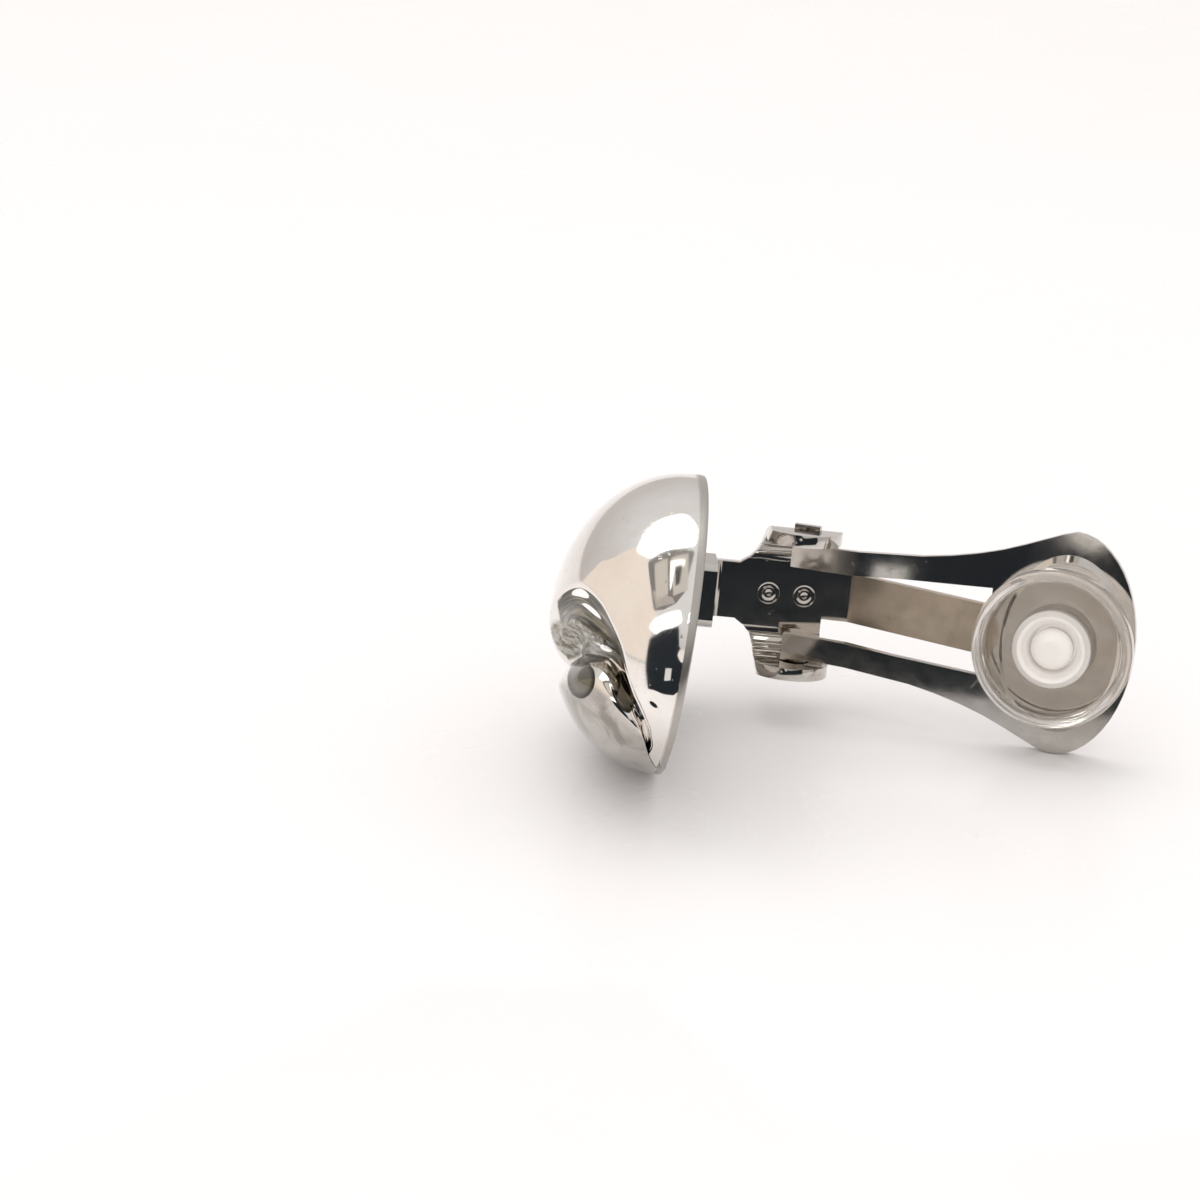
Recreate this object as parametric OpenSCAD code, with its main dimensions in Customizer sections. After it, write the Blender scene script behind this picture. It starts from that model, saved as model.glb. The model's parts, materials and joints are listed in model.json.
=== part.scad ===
// Clip on earring: a swirled domed front with a soldered hinge bracket, a stamped clip
// paddle and a clear ear pad. It lies on its side with the clip open, resting on the
// dome's rim and on the wide end of the paddle.

/* [Domed front] */
// Length of the oval front
dome_l = 22.2; // [20:0.1:26]
// Width of the oval front
dome_w = 16.4; // [15:0.1:19]
// Height of the front above its back plane
dome_h = 7.3; // [6.5:0.1:9]
// Height of the plain band around the rim
rim_t = 0.35; // [0.2:0.05:0.8]
// Depth of the hollow in the back
hollow_d = 3.4; // [2:0.1:4]
// Width of the flat rim on the back, at the sides
rim_w = 2.1; // [1.6:0.1:3]
// Width of the flat rim on the back, at the hook end
rim_end_w = 2.6; // [1:0.1:3]
// Solid metal left behind the hinge end, measured from that end
heel_l = 5.2; // [4.8:0.1:6.5]

/* [Swirl] */
// Greatest depth of the valley that winds across the front
valley_d = 2.2; // [1.4:0.1:2.4]
// Greatest width of the steep wall on the big lobe's side
wall_w = 3.1; // [2.4:0.05:3.4]
// Greatest distance from the valley to the sharp edge of the scoop
scoop_w = 5.65; // [4.8:0.05:5.9]
// Greatest depth of the scoop's inner edge below the dome
scoop_d = 0.8; // [0.4:0.05:1]
// Greatest width of the round shoulder on the small lobe
round_w = 2.0; // [1.5:0.05:2.3]
// Extra fullness of the small lobe
lobe_full = 0.1; // [0:0.05:0.4]

/* [Bracket] */
// Thickness of the bracket's sheet
bracket_t = 0.7; // [0.5:0.05:0.8]
// Thickness of the foot that is soldered to the back
foot_t = 0.85; // [0.6:0.05:1]
// Width of the foot
foot_w = 3.8; // [3.6:0.1:4.6]
// Length of the foot from the outer face of the web
foot_l = 3.3; // [2.8:0.1:4]
// Height of the solder pad under the foot
land_t = 1.25; // [0.8:0.05:1.6]
// Distance from the middle of the front to the near face of the web
web_x = 8.65; // [8:0.05:9]
// Width of the web's neck
neck_w = 3.3; // [2.8:0.1:4]
// Distance from the back plane to the end of the web
web_end = 8.45; // [8:0.05:9]
// Angle at which the bracket was soldered askew
bracket_skew = 4; // [-4:0.5:6]
// Distance by which the bracket sits off the middle line
bracket_off = 0.4; // [-1:0.1:1]
// Distance between the inner faces of the ears
ear_gap = 7.1; // [6.95:0.05:8.5]
// Inner radius of the bends between web and ears
bend_r = 1.6; // [1.2:0.05:1.8]
// Radius of the round end of each ear
ear_r = 2.3; // [2:0.05:2.5]
// Distance by which the ears' round ends are nearer the back than the pivot
ear_shift = 0.3; // [0:0.05:0.5]
// Bore through the ears for the paddle's tabs
pivot_bore = 1.72; // [1.65:0.01:2]
// Distance from the near face of the web to the pivot
pivot_out = 1.45; // [1.3:0.05:1.6]
// Distance from the back plane to the pivot
pivot_z = 7.1; // [6.8:0.05:7.4]

/* [Clip paddle] */
// Thickness of the paddle's sheet
sheet_t = 0.5; // [0.4:0.05:0.6]
// Width of each pivot tab
tab_w = 1.5; // [1.2:0.05:1.55]
// Distance that each tab stands proud of the ears
tab_proud = 0.25; // [0.2:0.05:0.8]
// Gap between the two arms at the pivot
arm_gap = 3.9; // [3.4:0.05:4.1]
// Width of each arm at the pivot
arm_w = 1.4; // [1.1:0.05:1.5]
// Distance from the pivot to the arms' ends
arm_end = 0.75; // [0.7:0.05:0.85]
// Distance from the pivot to the widest place of the paddle
wide_u = 15.3; // [14.5:0.1:17]
// Width of the paddle's wide end
wide_w = 12.8; // [11:0.1:13.5]
// Distance from the widest place to the tip
tip_u = 4.05; // [3.8:0.05:5]
// Length of the oval boss
boss_l = 6.9; // [6:0.1:7.4]
// Width of the oval boss
boss_w = 10.2; // [8.5:0.1:10.6]
// Height of the oval boss
boss_h = 0.35; // [0.2:0.05:0.5]
// Width of the spring tongue
tongue_w = 2.9; // [2.4:0.05:3.1]
// Distance from the pivot to the tongue's root
tongue_u = 11.6; // [11:0.1:12]
// Lean of the open paddle towards the closed position
open_lean = 18.5; // [14:0.5:22]

/* [Ear pad] */
// Diameter of the clear pad
pad_d = 9.0; // [8:0.1:9.6]
// Thickness of the clear pad
pad_t = 2.0; // [1.6:0.1:2.6]
// Width of the pad's raised lip
lip_w = 0.5; // [0.3:0.05:0.8]
// Depth of the dished face inside the lip
dish_d = 0.45; // [0.2:0.05:0.8]
// Diameter of the hub ring on the face
hub_d = 4.2; // [3.6:0.1:5]
// Diameter of the pad's stem
stem_d = 2.4; // [1.8:0.1:2.8]
// Height of the stem's head behind the paddle
head_t = 0.45; // [0.3:0.05:0.7]
// Distance from the pivot to the middle of the pad
pad_u = 15.0; // [14.5:0.1:15.3]

/* [Fits] */
// Gap between pieces that rest on each other
seat_gap = 0.05; // [0.03:0.01:0.1]
// Radial play of the pad's stem in its hole
stem_play = 0.06; // [0.03:0.01:0.15]
// Gap between the tongue's tip and the rounded end of the web
tongue_gap = 0.08; // [0.05:0.01:0.15]

/* [Rest] */
// Tilt along the front at which the earring comes to rest
rest_rock = -10.5; // [-14:0.1:0]
// Depth of the flats worn on the rim and the paddle's edge where they rest
rest_flat = 0.12; // [0.08:0.01:0.15]

/* [Hidden] */
$fn = 48;

half_l = dome_l / 2;
half_w = dome_w / 2;
crown_h = dome_h - rim_t;

// Sections along the valley, from its tail at the hinge end to its foot at the hook end.
// ax and ay place the valley, as shares of half the length and half the width.
// deep, wall, edge, scoop and round are shares of valley_d, wall_w, scoop_w, scoop_d and
// round_w. big and small are the places on the rim that the section runs to, in degrees,
// over the big lobe and over the small lobe.
//   ax     ay      deep  wall  edge  scoop round big    small
SWIRL = [
    [-0.964, -0.262, 0.08, 0.04, 0.025, 0.10, 0.08, 193.5, 196.5],
    [-0.890, -0.425, 0.26, 0.10, 0.07, 0.16, 0.28, 188.0, 203.0],
    [-0.805, -0.535, 0.40, 0.13, 0.085, 0.22, 0.42, 181.0, 210.0],
    [-0.700, -0.610, 0.50, 0.145, 0.105, 0.28, 0.55, 172.0, 218.0],
    [-0.570, -0.645, 0.57, 0.16, 0.115, 0.36, 0.65, 160.0, 227.0],
    [-0.415, -0.630, 0.62, 0.19, 0.14, 0.46, 0.75, 147.0, 236.0],
    [-0.255, -0.575, 0.68, 0.26, 0.20, 0.60, 0.84, 132.0, 244.0],
    [-0.110, -0.505, 0.76, 0.37, 0.31, 0.74, 0.88, 116.0, 251.0],
    [ 0.030, -0.440, 0.85, 0.53, 0.47, 0.84, 0.84, 101.0, 257.0],
    [ 0.170, -0.375, 0.93, 0.74, 0.72, 0.90, 0.74,  86.0, 263.0],
    [ 0.320, -0.325, 0.98, 0.99, 1.00, 0.94, 0.62,  71.0, 269.0],
    [ 0.475, -0.270, 1.00, 1.00, 0.98, 0.98, 0.54,  57.0, 275.0],
    [ 0.615, -0.215, 1.00, 0.90, 0.77, 1.00, 0.52,  43.0, 281.0],
    [ 0.740, -0.185, 0.96, 0.74, 0.52, 0.80, 0.55,  29.0, 287.0],
    [ 0.820, -0.218, 0.87, 0.48, 0.32, 0.42, 0.57,  13.0, 292.0],
    [ 0.858, -0.295, 0.73, 0.32, 0.225, 0.22, 0.50,  -1.0, 296.0],
    [ 0.871, -0.382, 0.55, 0.21, 0.155, 0.15, 0.38, -15.0, 299.5],
    [ 0.848, -0.486, 0.38, 0.14, 0.10, 0.12, 0.25, -27.5, 302.2],
    [ 0.768, -0.622, 0.21, 0.10, 0.07, 0.10, 0.14, -37.5, 304.3],
    [ 0.606, -0.794, 0.08, 0.05, 0.03, 0.08, 0.08, -50.5, 306.0],
];
AX = 0; AY = 1; DEEP = 2; WALL = 3; EDGE = 4; SCOOP = 5; ROUND = 6; BIG = 7; SMALL = 8;

// Steps between two sections, and the shares at which each part of a section is cut
steps = 3;
WALL_CUTS = [0.3, 0.55, 0.72, 0.86, 1];
SCOOP_CUTS = [0.2, 0.45, 0.75, 1];
BIG_CUTS = [0.012, 0.04, 0.09, 0.16, 0.25, 0.35, 0.46, 0.57, 0.68, 0.78, 0.87, 0.94, 0.98, 1];
ROUND_CUTS = [0.04, 0.14, 0.3, 0.5, 0.74, 1];
SMALL_CUTS = [0.08, 0.19, 0.31, 0.43, 0.55, 0.67, 0.78, 0.88, 0.95, 1];
// Depth of the scoop's hollow between its two edges, as a share of its inner edge's depth
scoop_hollow = 0.35;
HOLLOW_CUTS = [0.97, 0.86, 0.68, 0.45, 0.22];

// A smooth curve through the sections, read at place t counted in sections
function row_at(i) = SWIRL[max(0, min(len(SWIRL) - 1, i))];
function section(t) =
    let (i = min(floor(t), len(SWIRL) - 2), f = t - i)
    let (p = row_at(i - 1), q = row_at(i), r = row_at(i + 1), s = row_at(i + 2))
    q + f / 2 * ((r - p) + f * ((2 * p - 5 * q + 4 * r - s) + f * (3 * q - p - 3 * r + s)));

function stretched(v) = [v.x * half_l, v.y * half_w, v.z * crown_h];
function ball_point(x, y) = [x, y, sqrt(max(0, 1 - x * x - y * y))];

// A point of the crown, at an angle along the arc from valley to rim, sunk by a depth
function crown_point(v, e, span, angle, depth) =
    let (u = (v * sin(span - angle) + e * sin(angle)) / sin(span))
    let (p = stretched(u))
    p * (1 - depth / norm(p)) + [0, 0, rim_t];

// Depths across the big lobe's side: wall, scoop, then the plain dome
function wall_depth(s, q) =
    s[DEEP] * valley_d + (s[SCOOP] * scoop_d - s[DEEP] * valley_d) * pow(q, 3.5);
function scoop_depth(s, q) =
    s[SCOOP] * scoop_d * (1 - q) * (1 + 4 * scoop_hollow * q);

// Depth across the small lobe's round shoulder, between a quarter circle and a slope
function shoulder_depth(q) =
    0.65 * (1 - sqrt(1 - (1 - q) * (1 - q))) + 0.35 * pow(1 - q, 1.5);

function big_side(s) =
    let (v = ball_point(s[AX], s[AY]), e = [cos(s[BIG]), sin(s[BIG]), 0])
    let (span = acos(v * e))
    let (per_mm = 180 / PI / norm(stretched((e - v * cos(span)) / sin(span))))
    let (edge_mm = s[EDGE] * scoop_w, wall_mm = min(s[WALL] * wall_w, 0.9 * edge_mm))
    let (wall = min(wall_mm * per_mm, 0.5 * span), edge = min(edge_mm * per_mm, 0.7 * span))
    concat(
        [for (q = WALL_CUTS) crown_point(v, e, span, wall * q, wall_depth(s, q))],
        [for (q = SCOOP_CUTS) crown_point(v, e, span, wall + (edge - wall) * q, scoop_depth(s, q))],
        [for (q = BIG_CUTS) crown_point(v, e, span, edge + (span - edge) * q, 0)]
    );

function small_side(s, t) =
    let (v = ball_point(s[AX], s[AY]), e = [cos(s[SMALL]), sin(s[SMALL]), 0])
    let (span = acos(v * e))
    let (per_mm = 180 / PI / norm(stretched((e - v * cos(span)) / sin(span))))
    let (shoulder = min(s[ROUND] * round_w * per_mm, 0.6 * span))
    let (full = lobe_full * sin(180 * t / (len(SWIRL) - 1)))
    concat(
        [for (q = ROUND_CUTS) crown_point(v, e, span, shoulder * q,
            s[DEEP] * valley_d * shoulder_depth(q))],
        [for (q = SMALL_CUTS) crown_point(v, e, span, shoulder + (span - shoulder) * q,
            -full * sin(180 * q))]
    );

STATIONS = [for (i = [0 : steps * (len(SWIRL) - 1)]) i / steps];
SECTIONS = [for (t = STATIONS) section(t)];
small_n = len(ROUND_CUTS) + len(SMALL_CUTS);
big_n = len(WALL_CUTS) + len(SCOOP_CUTS) + len(BIG_CUTS);
row_n = small_n + 1 + big_n;
row_last = len(STATIONS) - 1;

function reversed(list) = [for (i = [len(list) - 1 : -1 : 0]) list[i]];
function valley_point(s) =
    crown_point(ball_point(s[AX], s[AY]), [cos(s[BIG]), sin(s[BIG]), 0], 90, 0, s[DEEP] * valley_d);

CROWN = [for (i = [0 : row_last]) let (s = SECTIONS[i])
    each concat(reversed(small_side(s, STATIONS[i])), [valley_point(s)], big_side(s))];

// The rim's loop of angles, over the big lobe and back over the small lobe
LOOP = concat([for (s = SECTIONS) s[BIG]], reversed([for (s = SECTIONS) s[SMALL] - 360]));
loop_n = len(LOOP);
function crown_loop(i) =
    i <= row_last ? i * row_n + row_n - 1 : (loop_n - 1 - i) * row_n;

// The hollow's oval, set off the middle towards the hook end
hollow_a = (dome_l - heel_l - rim_end_w) / 2;
hollow_b = half_w - rim_w;
hollow_x = half_l - rim_end_w - hollow_a;

BACK_RIM = [for (a = LOOP) [half_l * cos(a), half_w * sin(a), 0]];
HOLLOW_EDGE = [for (a = LOOP) [hollow_x + hollow_a * cos(a), hollow_b * sin(a), 0]];
HOLLOW = [for (q = HOLLOW_CUTS) each [for (a = LOOP)
    [hollow_x + hollow_a * q * cos(a), hollow_b * q * sin(a), hollow_d * sqrt(1 - q * q)]]];
DOME_POINTS = concat(CROWN, BACK_RIM, HOLLOW_EDGE, HOLLOW, [[hollow_x, 0, hollow_d]]);

back_at = len(CROWN);
edge_at = back_at + loop_n;
hollow_at = edge_at + loop_n;
pole_at = hollow_at + loop_n * len(HOLLOW_CUTS);

function quad(a, b, c, d) = [[a, b, c], [a, c, d]];
function after(i) = (i + 1) % loop_n;

DOME_FACES = concat(
    [for (i = [0 : row_last - 1], k = [0 : row_n - 2])
        each quad(i * row_n + k, i * row_n + k + 1, (i + 1) * row_n + k + 1, (i + 1) * row_n + k)],
    end_cap(0, true),
    end_cap(row_last, false),
    [for (i = [0 : loop_n - 1])
        each quad(crown_loop(i), back_at + i, back_at + after(i), crown_loop(after(i)))],
    [for (r = [0 : len(HOLLOW_CUTS)], i = [0 : loop_n - 1])
        each quad(back_at + r * loop_n + i, edge_at + r * loop_n + i,
            edge_at + r * loop_n + after(i), back_at + r * loop_n + after(i))],
    [for (i = [0 : loop_n - 1])
        [pole_at - loop_n + i, pole_at, pole_at - loop_n + after(i)]]
);

// Closes an end of the valley between the small lobe's side and the big lobe's side. The
// longer side's last points fan to the shorter side's rim point.
function end_cap(i, first) =
    let (at = i * row_n + small_n)
    let (small = [for (k = [0 : big_n]) at - min(k, small_n)], big = [for (k = [0 : big_n]) at + k])
    [for (k = [0 : big_n - 1]) each concat(
        small[k + 1] == small[k] ? [] : [turned([small[k], big[k + 1], small[k + 1]], first)],
        k == 0 ? [] : [turned([small[k], big[k], big[k + 1]], first)])];
function turned(face, first) = first ? face : [face[0], face[2], face[1]];

// The bracket, in its own frame: x along the front, z towards the crown
ear_in = ear_gap / 2;
ear_out = ear_in + bracket_t;
web_near = -web_x;
web_far = -web_x - bracket_t;
pivot_x = web_near + pivot_out;
ear_z = -pivot_z + ear_shift;
// Where the ears' outline leaves the web, and the length and shape of its flare, as shares of
// the flare's length and of the way from the neck to the ear's outer face
ear_drop = 1.15;
ear_top = foot_t + land_t + ear_drop;
ear_start = -ear_top;
flare_l = 1.9;
FLARE = [[0, -0.1], [0.2, 0.03], [0.45, 0.15], [0.65, 0.32], [0.76, 0.55], [0.82, 0.8], [0.9, 1.02],
    [1.2, 1.1]];
// How deep the solder pad reaches into the dome
land_sink = 0.9;
land_margin = 0.12;
foot_r = 0.5;
fillet_r = 0.4;
web_round = bracket_t / 2;
groove_r = 0.13;
GROOVE_ANGLES = [18, 36, 54, 72];
DIMPLE_Z = [-5.37, -7.45];
dimple_d = 1.3;
dimple_in = 0.75;
dimple_pit = 0.3;
dimple_deep = 0.16;
// Where the ears' sides run past their round end, as shares of its radius
EAR_SIDES = [[-0.33, 0.94], [-0.39, -0.9]];
// Small and large overlaps of shapes that are joined or cut, and a height past the whole bracket
lap = 0.01;
ear_lap = 0.1;
over = 1;
tall = 1.7 * web_end;

// The paddle, in its own frame: x from the pivot to the tip, z towards the ear pad
arm_out = arm_gap / 2 + arm_w;
wide_half = wide_w / 2;
tab_out = ear_out + tab_proud;
boss_top = sheet_t / 2 + boss_h;
hole_d = stem_d + 2 * stem_play;
// The arms and the wide end, as pairs: share of the way from the pivot to the widest place,
// then share of the way from the arm's outer edge to the widest half
ARM_SHAPE = [[0.05, 0], [0.2, 0.02], [0.35, 0.08], [0.45, 0.13], [0.55, 0.22], [0.65, 0.34], [0.74, 0.48],
    [0.82, 0.64], [0.89, 0.79], [0.95, 0.92]];
// The window's half widths: share of the way to the tongue's root, then share of its flare
WINDOW_SHAPE = [[-0.3, 0], [0.25, 0.08], [0.5, 0.5], [0.75, 0.75], [0.95, 1]];
window_flare = 0.6;
tip_turns = 12;
// The tongue runs back from its root to a bend, and its tip lies along the web's outer face
web_round_x = web_far + web_round;
web_round_z = -web_end + web_round;
round_reach = norm([web_round_x - pivot_x, web_round_z + pivot_z]) + web_round;
tongue_t = sheet_t;
tip_clear = 0.1;
tip_n = -(round_reach + tongue_gap + tongue_t / 2 + tip_clear);
// Where the tip starts, how far it runs to its bend and how far it leans outwards there
tip_u0 = 0.2;
tip_l = 2.05;
tip_lean = 0.5;
tip_start = [tip_u0, tip_n];
tip_bend = [tip_u0 + tip_l, tip_n - tip_lean];
// How far the tongue's root reaches into the wide end, and how far it lies below its middle
root_lap = 0.6;
root_low = 0.05;
// Half the tongue's thickness is kept round its bend by this share of both sides' directions
bend_share = 0.53;
// How far the tabs reach into the arms, and how much smaller the boss is inside
tab_lap = 0.3;
boss_wall = 0.35;

// The pad's outline. The peg in the hub, as shares of its radius and depths below the face
peg_r = 1.15;
PEG = [[0, 0.1], [0.435, 0.13], [0.74, 0.25], [0.913, 0.45]];
// The hub's cup and ring, as distances inside the ring's radius and above the dished face
cup_d = 0.25;
HUB = [[0.55, -cup_d], [0.4, 0.12], [0.2, 0.2], [0, 0.1], [-0.12, 0]];
// The lip, as distances inside the pad's radius and below its face, and the pad's round side, as
// distances inside its radius and above its back
lip_slope = 0.15;
lip_fall = 0.06;
LIP = [[0.08, 0.12], [0, 0.4]];
PAD_SIDE = [[0.05, 0.5], [0.35, 0.1], [0.6, 0]];
// How far the head reaches past the stem, at the paddle and at its end
HEAD = [0.5, 0.3];

// The resting pose: the roll at which rim and paddle both touch the floor
function up_axis(roll) =
    let (r = roll, k = rest_rock)
    [-sin(k) * cos(r), cos(k) * cos(r), sin(r)];
function skewed(v) = [v.x, v.y * cos(bracket_skew) - v.z * sin(bracket_skew),
    v.y * sin(bracket_skew) + v.z * cos(bracket_skew)];
function placed(v) = skewed(v) + [0, bracket_off, 0];
paddle_u = [sin(open_lean), 0, -cos(open_lean)];
paddle_n = [cos(open_lean), 0, sin(open_lean)];
pivot_point = [pivot_x, 0, -pivot_z];
function rim_drop(roll) =
    let (w = up_axis(roll))
    norm([half_l * w.x, half_w * w.y]);
function paddle_drop(roll) =
    let (w = up_axis(roll))
    let (c = placed(pivot_point + wide_u * paddle_u) * w)
    let (along = skewed(paddle_u) * w * tip_u, across = skewed([0, 1, 0]) * w * wide_half)
    let (thick = abs(skewed(paddle_n) * w) * sheet_t / 2)
    norm([along, across]) + thick - c;
function rest_roll(low, high, n) =
    let (mid = (low + high) / 2)
    n == 0 ? mid
        : paddle_drop(mid) > rim_drop(mid) ? rest_roll(low, mid, n - 1) : rest_roll(mid, high, n - 1);
roll = rest_roll(0, 25, 24);
lift = rim_drop(roll) - rest_flat;

// The middle of the resting earring's box, seen from above
x_axis = [-sin(rest_rock) * sin(roll), cos(rest_rock) * sin(roll), -cos(roll)];
y_axis = [-cos(rest_rock), -sin(rest_rock), 0];
function highest(points, axis) = max([for (p = points) p * axis]);
function paddle_edge(a) = placed(pivot_point + (wide_u + tip_u * cos(a)) * paddle_u
    + [0, wide_half * sin(a), 0]);
PADDLE_RIM = [for (a = [-90 : 5 : 90]) paddle_edge(a)];
PADDLE_TIPS = [for (p = PADDLE_RIM, s = [-1, 1]) p + s * sheet_t / 2 * skewed(paddle_n)];
ALL_POINTS = concat(DOME_POINTS, PADDLE_TIPS);
mid_x = (highest(ALL_POINTS, x_axis) - highest(ALL_POINTS, -x_axis)) / 2;
mid_y = (highest(ALL_POINTS, y_axis) - highest(ALL_POINTS, -y_axis)) / 2;

module at_rest() {
    translate([-mid_x, -mid_y, lift]) rotate([rest_rock, roll, 0]) rotate([90, 0, -90]) children();
}

// Wears its children flat where they would reach below the floor
module on_floor() {
    difference() {
        children();
        translate([-dome_l, -dome_l, -dome_l]) cube([3 * dome_l, 2 * dome_l, dome_l]);
    }
}

module in_bracket() {
    translate([0, bracket_off, 0]) rotate([bracket_skew, 0, 0]) children();
}

module in_paddle() {
    in_bracket() translate(pivot_point) rotate([0, 90 - open_lean, 0]) children();
}

// Extrudes a side view, drawn as x and z, by a width centred on y
module side_slab(width) {
    rotate([90, 0, 0]) linear_extrude(height = width, center = true) children();
}

module rounded_plate(x0, x1, width, z0, z1, r) {
    translate([x0, -width / 2, z0]) cube([x1 - x0 - r, width, z1 - z0]);
    translate([x0, -width / 2 + r, z0]) cube([x1 - x0, width - 2 * r, z1 - z0]);
    for (s = [-1, 1]) translate([x1 - r, s * (width / 2 - r), z0]) cylinder(r = r, h = z1 - z0);
}

module foot() {
    rounded_plate(web_far, web_far + foot_l, foot_w, -land_t - foot_t, -land_t, foot_r);
    rounded_plate(web_far - land_margin, web_far + foot_l + land_margin, foot_w + 2 * land_margin,
        -land_t - lap, land_sink, foot_r);
}

module channel_profile(x0, half, r) {
    translate([x0 + r, -half]) square([ear_gap, 2 * half]);
    translate([x0, -half + r]) square([r + 1, 2 * (half - r)]);
    for (s = [-1, 1]) translate([x0 + r, s * (half - r)]) circle(r = r);
}

module channel() {
    difference() {
        channel_profile(web_far, ear_out, bend_r + bracket_t);
        channel_profile(web_near, ear_in, bend_r);
    }
}

module ear_outline() {
    translate([pivot_x, ear_z]) circle(r = ear_r);
    polygon([
        [web_far - over, ear_start], [web_near, ear_start - ear_lap],
        [pivot_x, ear_z] + ear_r * EAR_SIDES[0], [pivot_x, ear_z],
        [pivot_x, ear_z] + ear_r * EAR_SIDES[1], [web_near + ear_lap, -web_end + web_round],
        [web_far - over, -web_end + web_round],
    ]);
}

// The ears' flare from the web's neck, seen from the front and drawn as z and y
module flare_outline() {
    side = [
        for (p = FLARE) [-ear_top - p.x * flare_l, neck_w / 2 + p.y * (ear_out - neck_w / 2)]
    ];
    corner = [-tall, ear_gap];
    polygon(concat(side, [corner], mirrored(concat(side, [corner]))));
}

module ears() {
    difference() {
        intersection() {
            translate([0, 0, -tall]) linear_extrude(height = tall) channel();
            side_slab(2 * tall) ear_outline();
            rotate([0, -90, 0]) linear_extrude(height = 3 * tall, center = true) flare_outline();
        }
        translate([pivot_x, 0, -pivot_z]) rotate([90, 0, 0])
            cylinder(d = pivot_bore, h = 2 * tall, center = true);
        for (s = [-1, 1], a = GROOVE_ANGLES)
            translate([web_near + bend_r - bend_r * cos(a), s * (ear_in - bend_r + bend_r * sin(a)), -tall])
                cylinder(r = groove_r, h = tall, $fn = 16);
    }
}

module web() {
    translate([web_far, -neck_w / 2, -web_end + web_round])
        cube([bracket_t, neck_w, web_end - web_round - land_t - foot_t / 2]);
    translate([web_far + web_round, 0, -web_end + web_round]) rotate([90, 0, 0])
        cylinder(r = web_round, h = neck_w, center = true);
    // The inside of the bend between foot and web
    difference() {
        translate([web_near - lap, -neck_w / 2, -land_t - foot_t - fillet_r])
            cube([fillet_r, neck_w, fillet_r + lap]);
        translate([web_near + fillet_r, 0, -land_t - foot_t - fillet_r]) rotate([90, 0, 0])
            cylinder(r = fillet_r, h = neck_w + over, center = true);
    }
}

// Two round dimples pressed through the web: a ring and a pit inside, a boss outside
module dimple_cuts() {
    for (z = DIMPLE_Z) translate([web_near, 0, z]) rotate([0, 90, 0]) {
        difference() {
            cylinder(d = dimple_d, h = 2 * dimple_deep, center = true);
            cylinder(d = dimple_in, h = over, center = true);
        }
        cylinder(d = dimple_pit, h = 2 * dimple_deep, center = true);
    }
}

module dimple_bosses() {
    for (z = DIMPLE_Z) translate([web_far + lap, 0, z]) rotate([0, -90, 0])
        cylinder(d1 = dimple_d, d2 = dimple_in, h = dimple_deep);
}

module bracket() {
    difference() {
        union() {
            foot();
            web();
            ears();
            dimple_bosses();
        }
        dimple_cuts();
    }
}

module swirl_front() {
    color([0.80, 0.78, 0.75]) on_floor() at_rest() union() {
        polyhedron(points = DOME_POINTS, faces = DOME_FACES, convexity = 6);
        in_bracket() bracket();
    }
}

function mirrored(points) = [for (i = [len(points) - 1 : -1 : 0]) [points[i].x, -points[i].y]];

module paddle_outline() {
    side = concat(
        [[-arm_end, arm_out]],
        [for (p = ARM_SHAPE) [p.x * wide_u, arm_out + p.y * (wide_half - arm_out)]],
        [for (i = [0 : tip_turns - 1]) let (a = 90 - 90 * i / tip_turns)
            [wide_u + tip_u * cos(a), wide_half * sin(a)]]
    );
    polygon(concat(side, [[wide_u + tip_u, 0]], mirrored(side)));
}

module window_outline() {
    side = [for (p = WINDOW_SHAPE) [p.x * tongue_u, arm_gap / 2 + p.y * window_flare]];
    polygon(concat(side, mirrored(side)));
}

module boss(z, grow, h) {
    translate([wide_u, 0, z]) scale([boss_l / boss_w, 1, 1])
        cylinder(r1 = boss_w / 2 + grow, r2 = boss_w / 2 + grow - h, h = h, $fn = 64);
}

module tongue() {
    root = [tongue_u + root_lap, -root_low];
    lean = atan2(root.y - tip_bend.y, root.x - tip_bend.x);
    side = tongue_t / 2 * [-sin(lean), cos(lean)];
    turn = atan2(tip_bend.y - tip_start.y, tip_bend.x - tip_start.x);
    tip_side = tongue_t / 2 * [-sin(turn), cos(turn)];
    joint_side = (side + tip_side) * bend_share;
    side_slab(tongue_w) polygon([
        tip_start + tip_side, tip_bend + joint_side, root + side,
        root - side, tip_bend - joint_side, tip_start - tip_side,
    ]);
}

module clip_paddle() {
    color([0.70, 0.66, 0.60]) on_floor() at_rest() in_paddle() difference() {
        union() {
            translate([0, 0, -sheet_t / 2]) linear_extrude(height = sheet_t) difference() {
                paddle_outline();
                window_outline();
            }
            for (s = [-1, 1])
                translate([-tab_w / 2, s > 0 ? arm_out - tab_lap : -tab_out, -sheet_t / 2])
                    cube([tab_w, tab_out - arm_out + tab_lap, sheet_t]);
            boss(sheet_t / 2 - lap, 0, boss_h);
            tongue();
        }
        boss(-sheet_t / 2 - lap, -boss_wall, boss_h);
        translate([pad_u, 0, 0]) cylinder(d = hole_d, h = 8 * sheet_t, center = true);
    }
}

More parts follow.
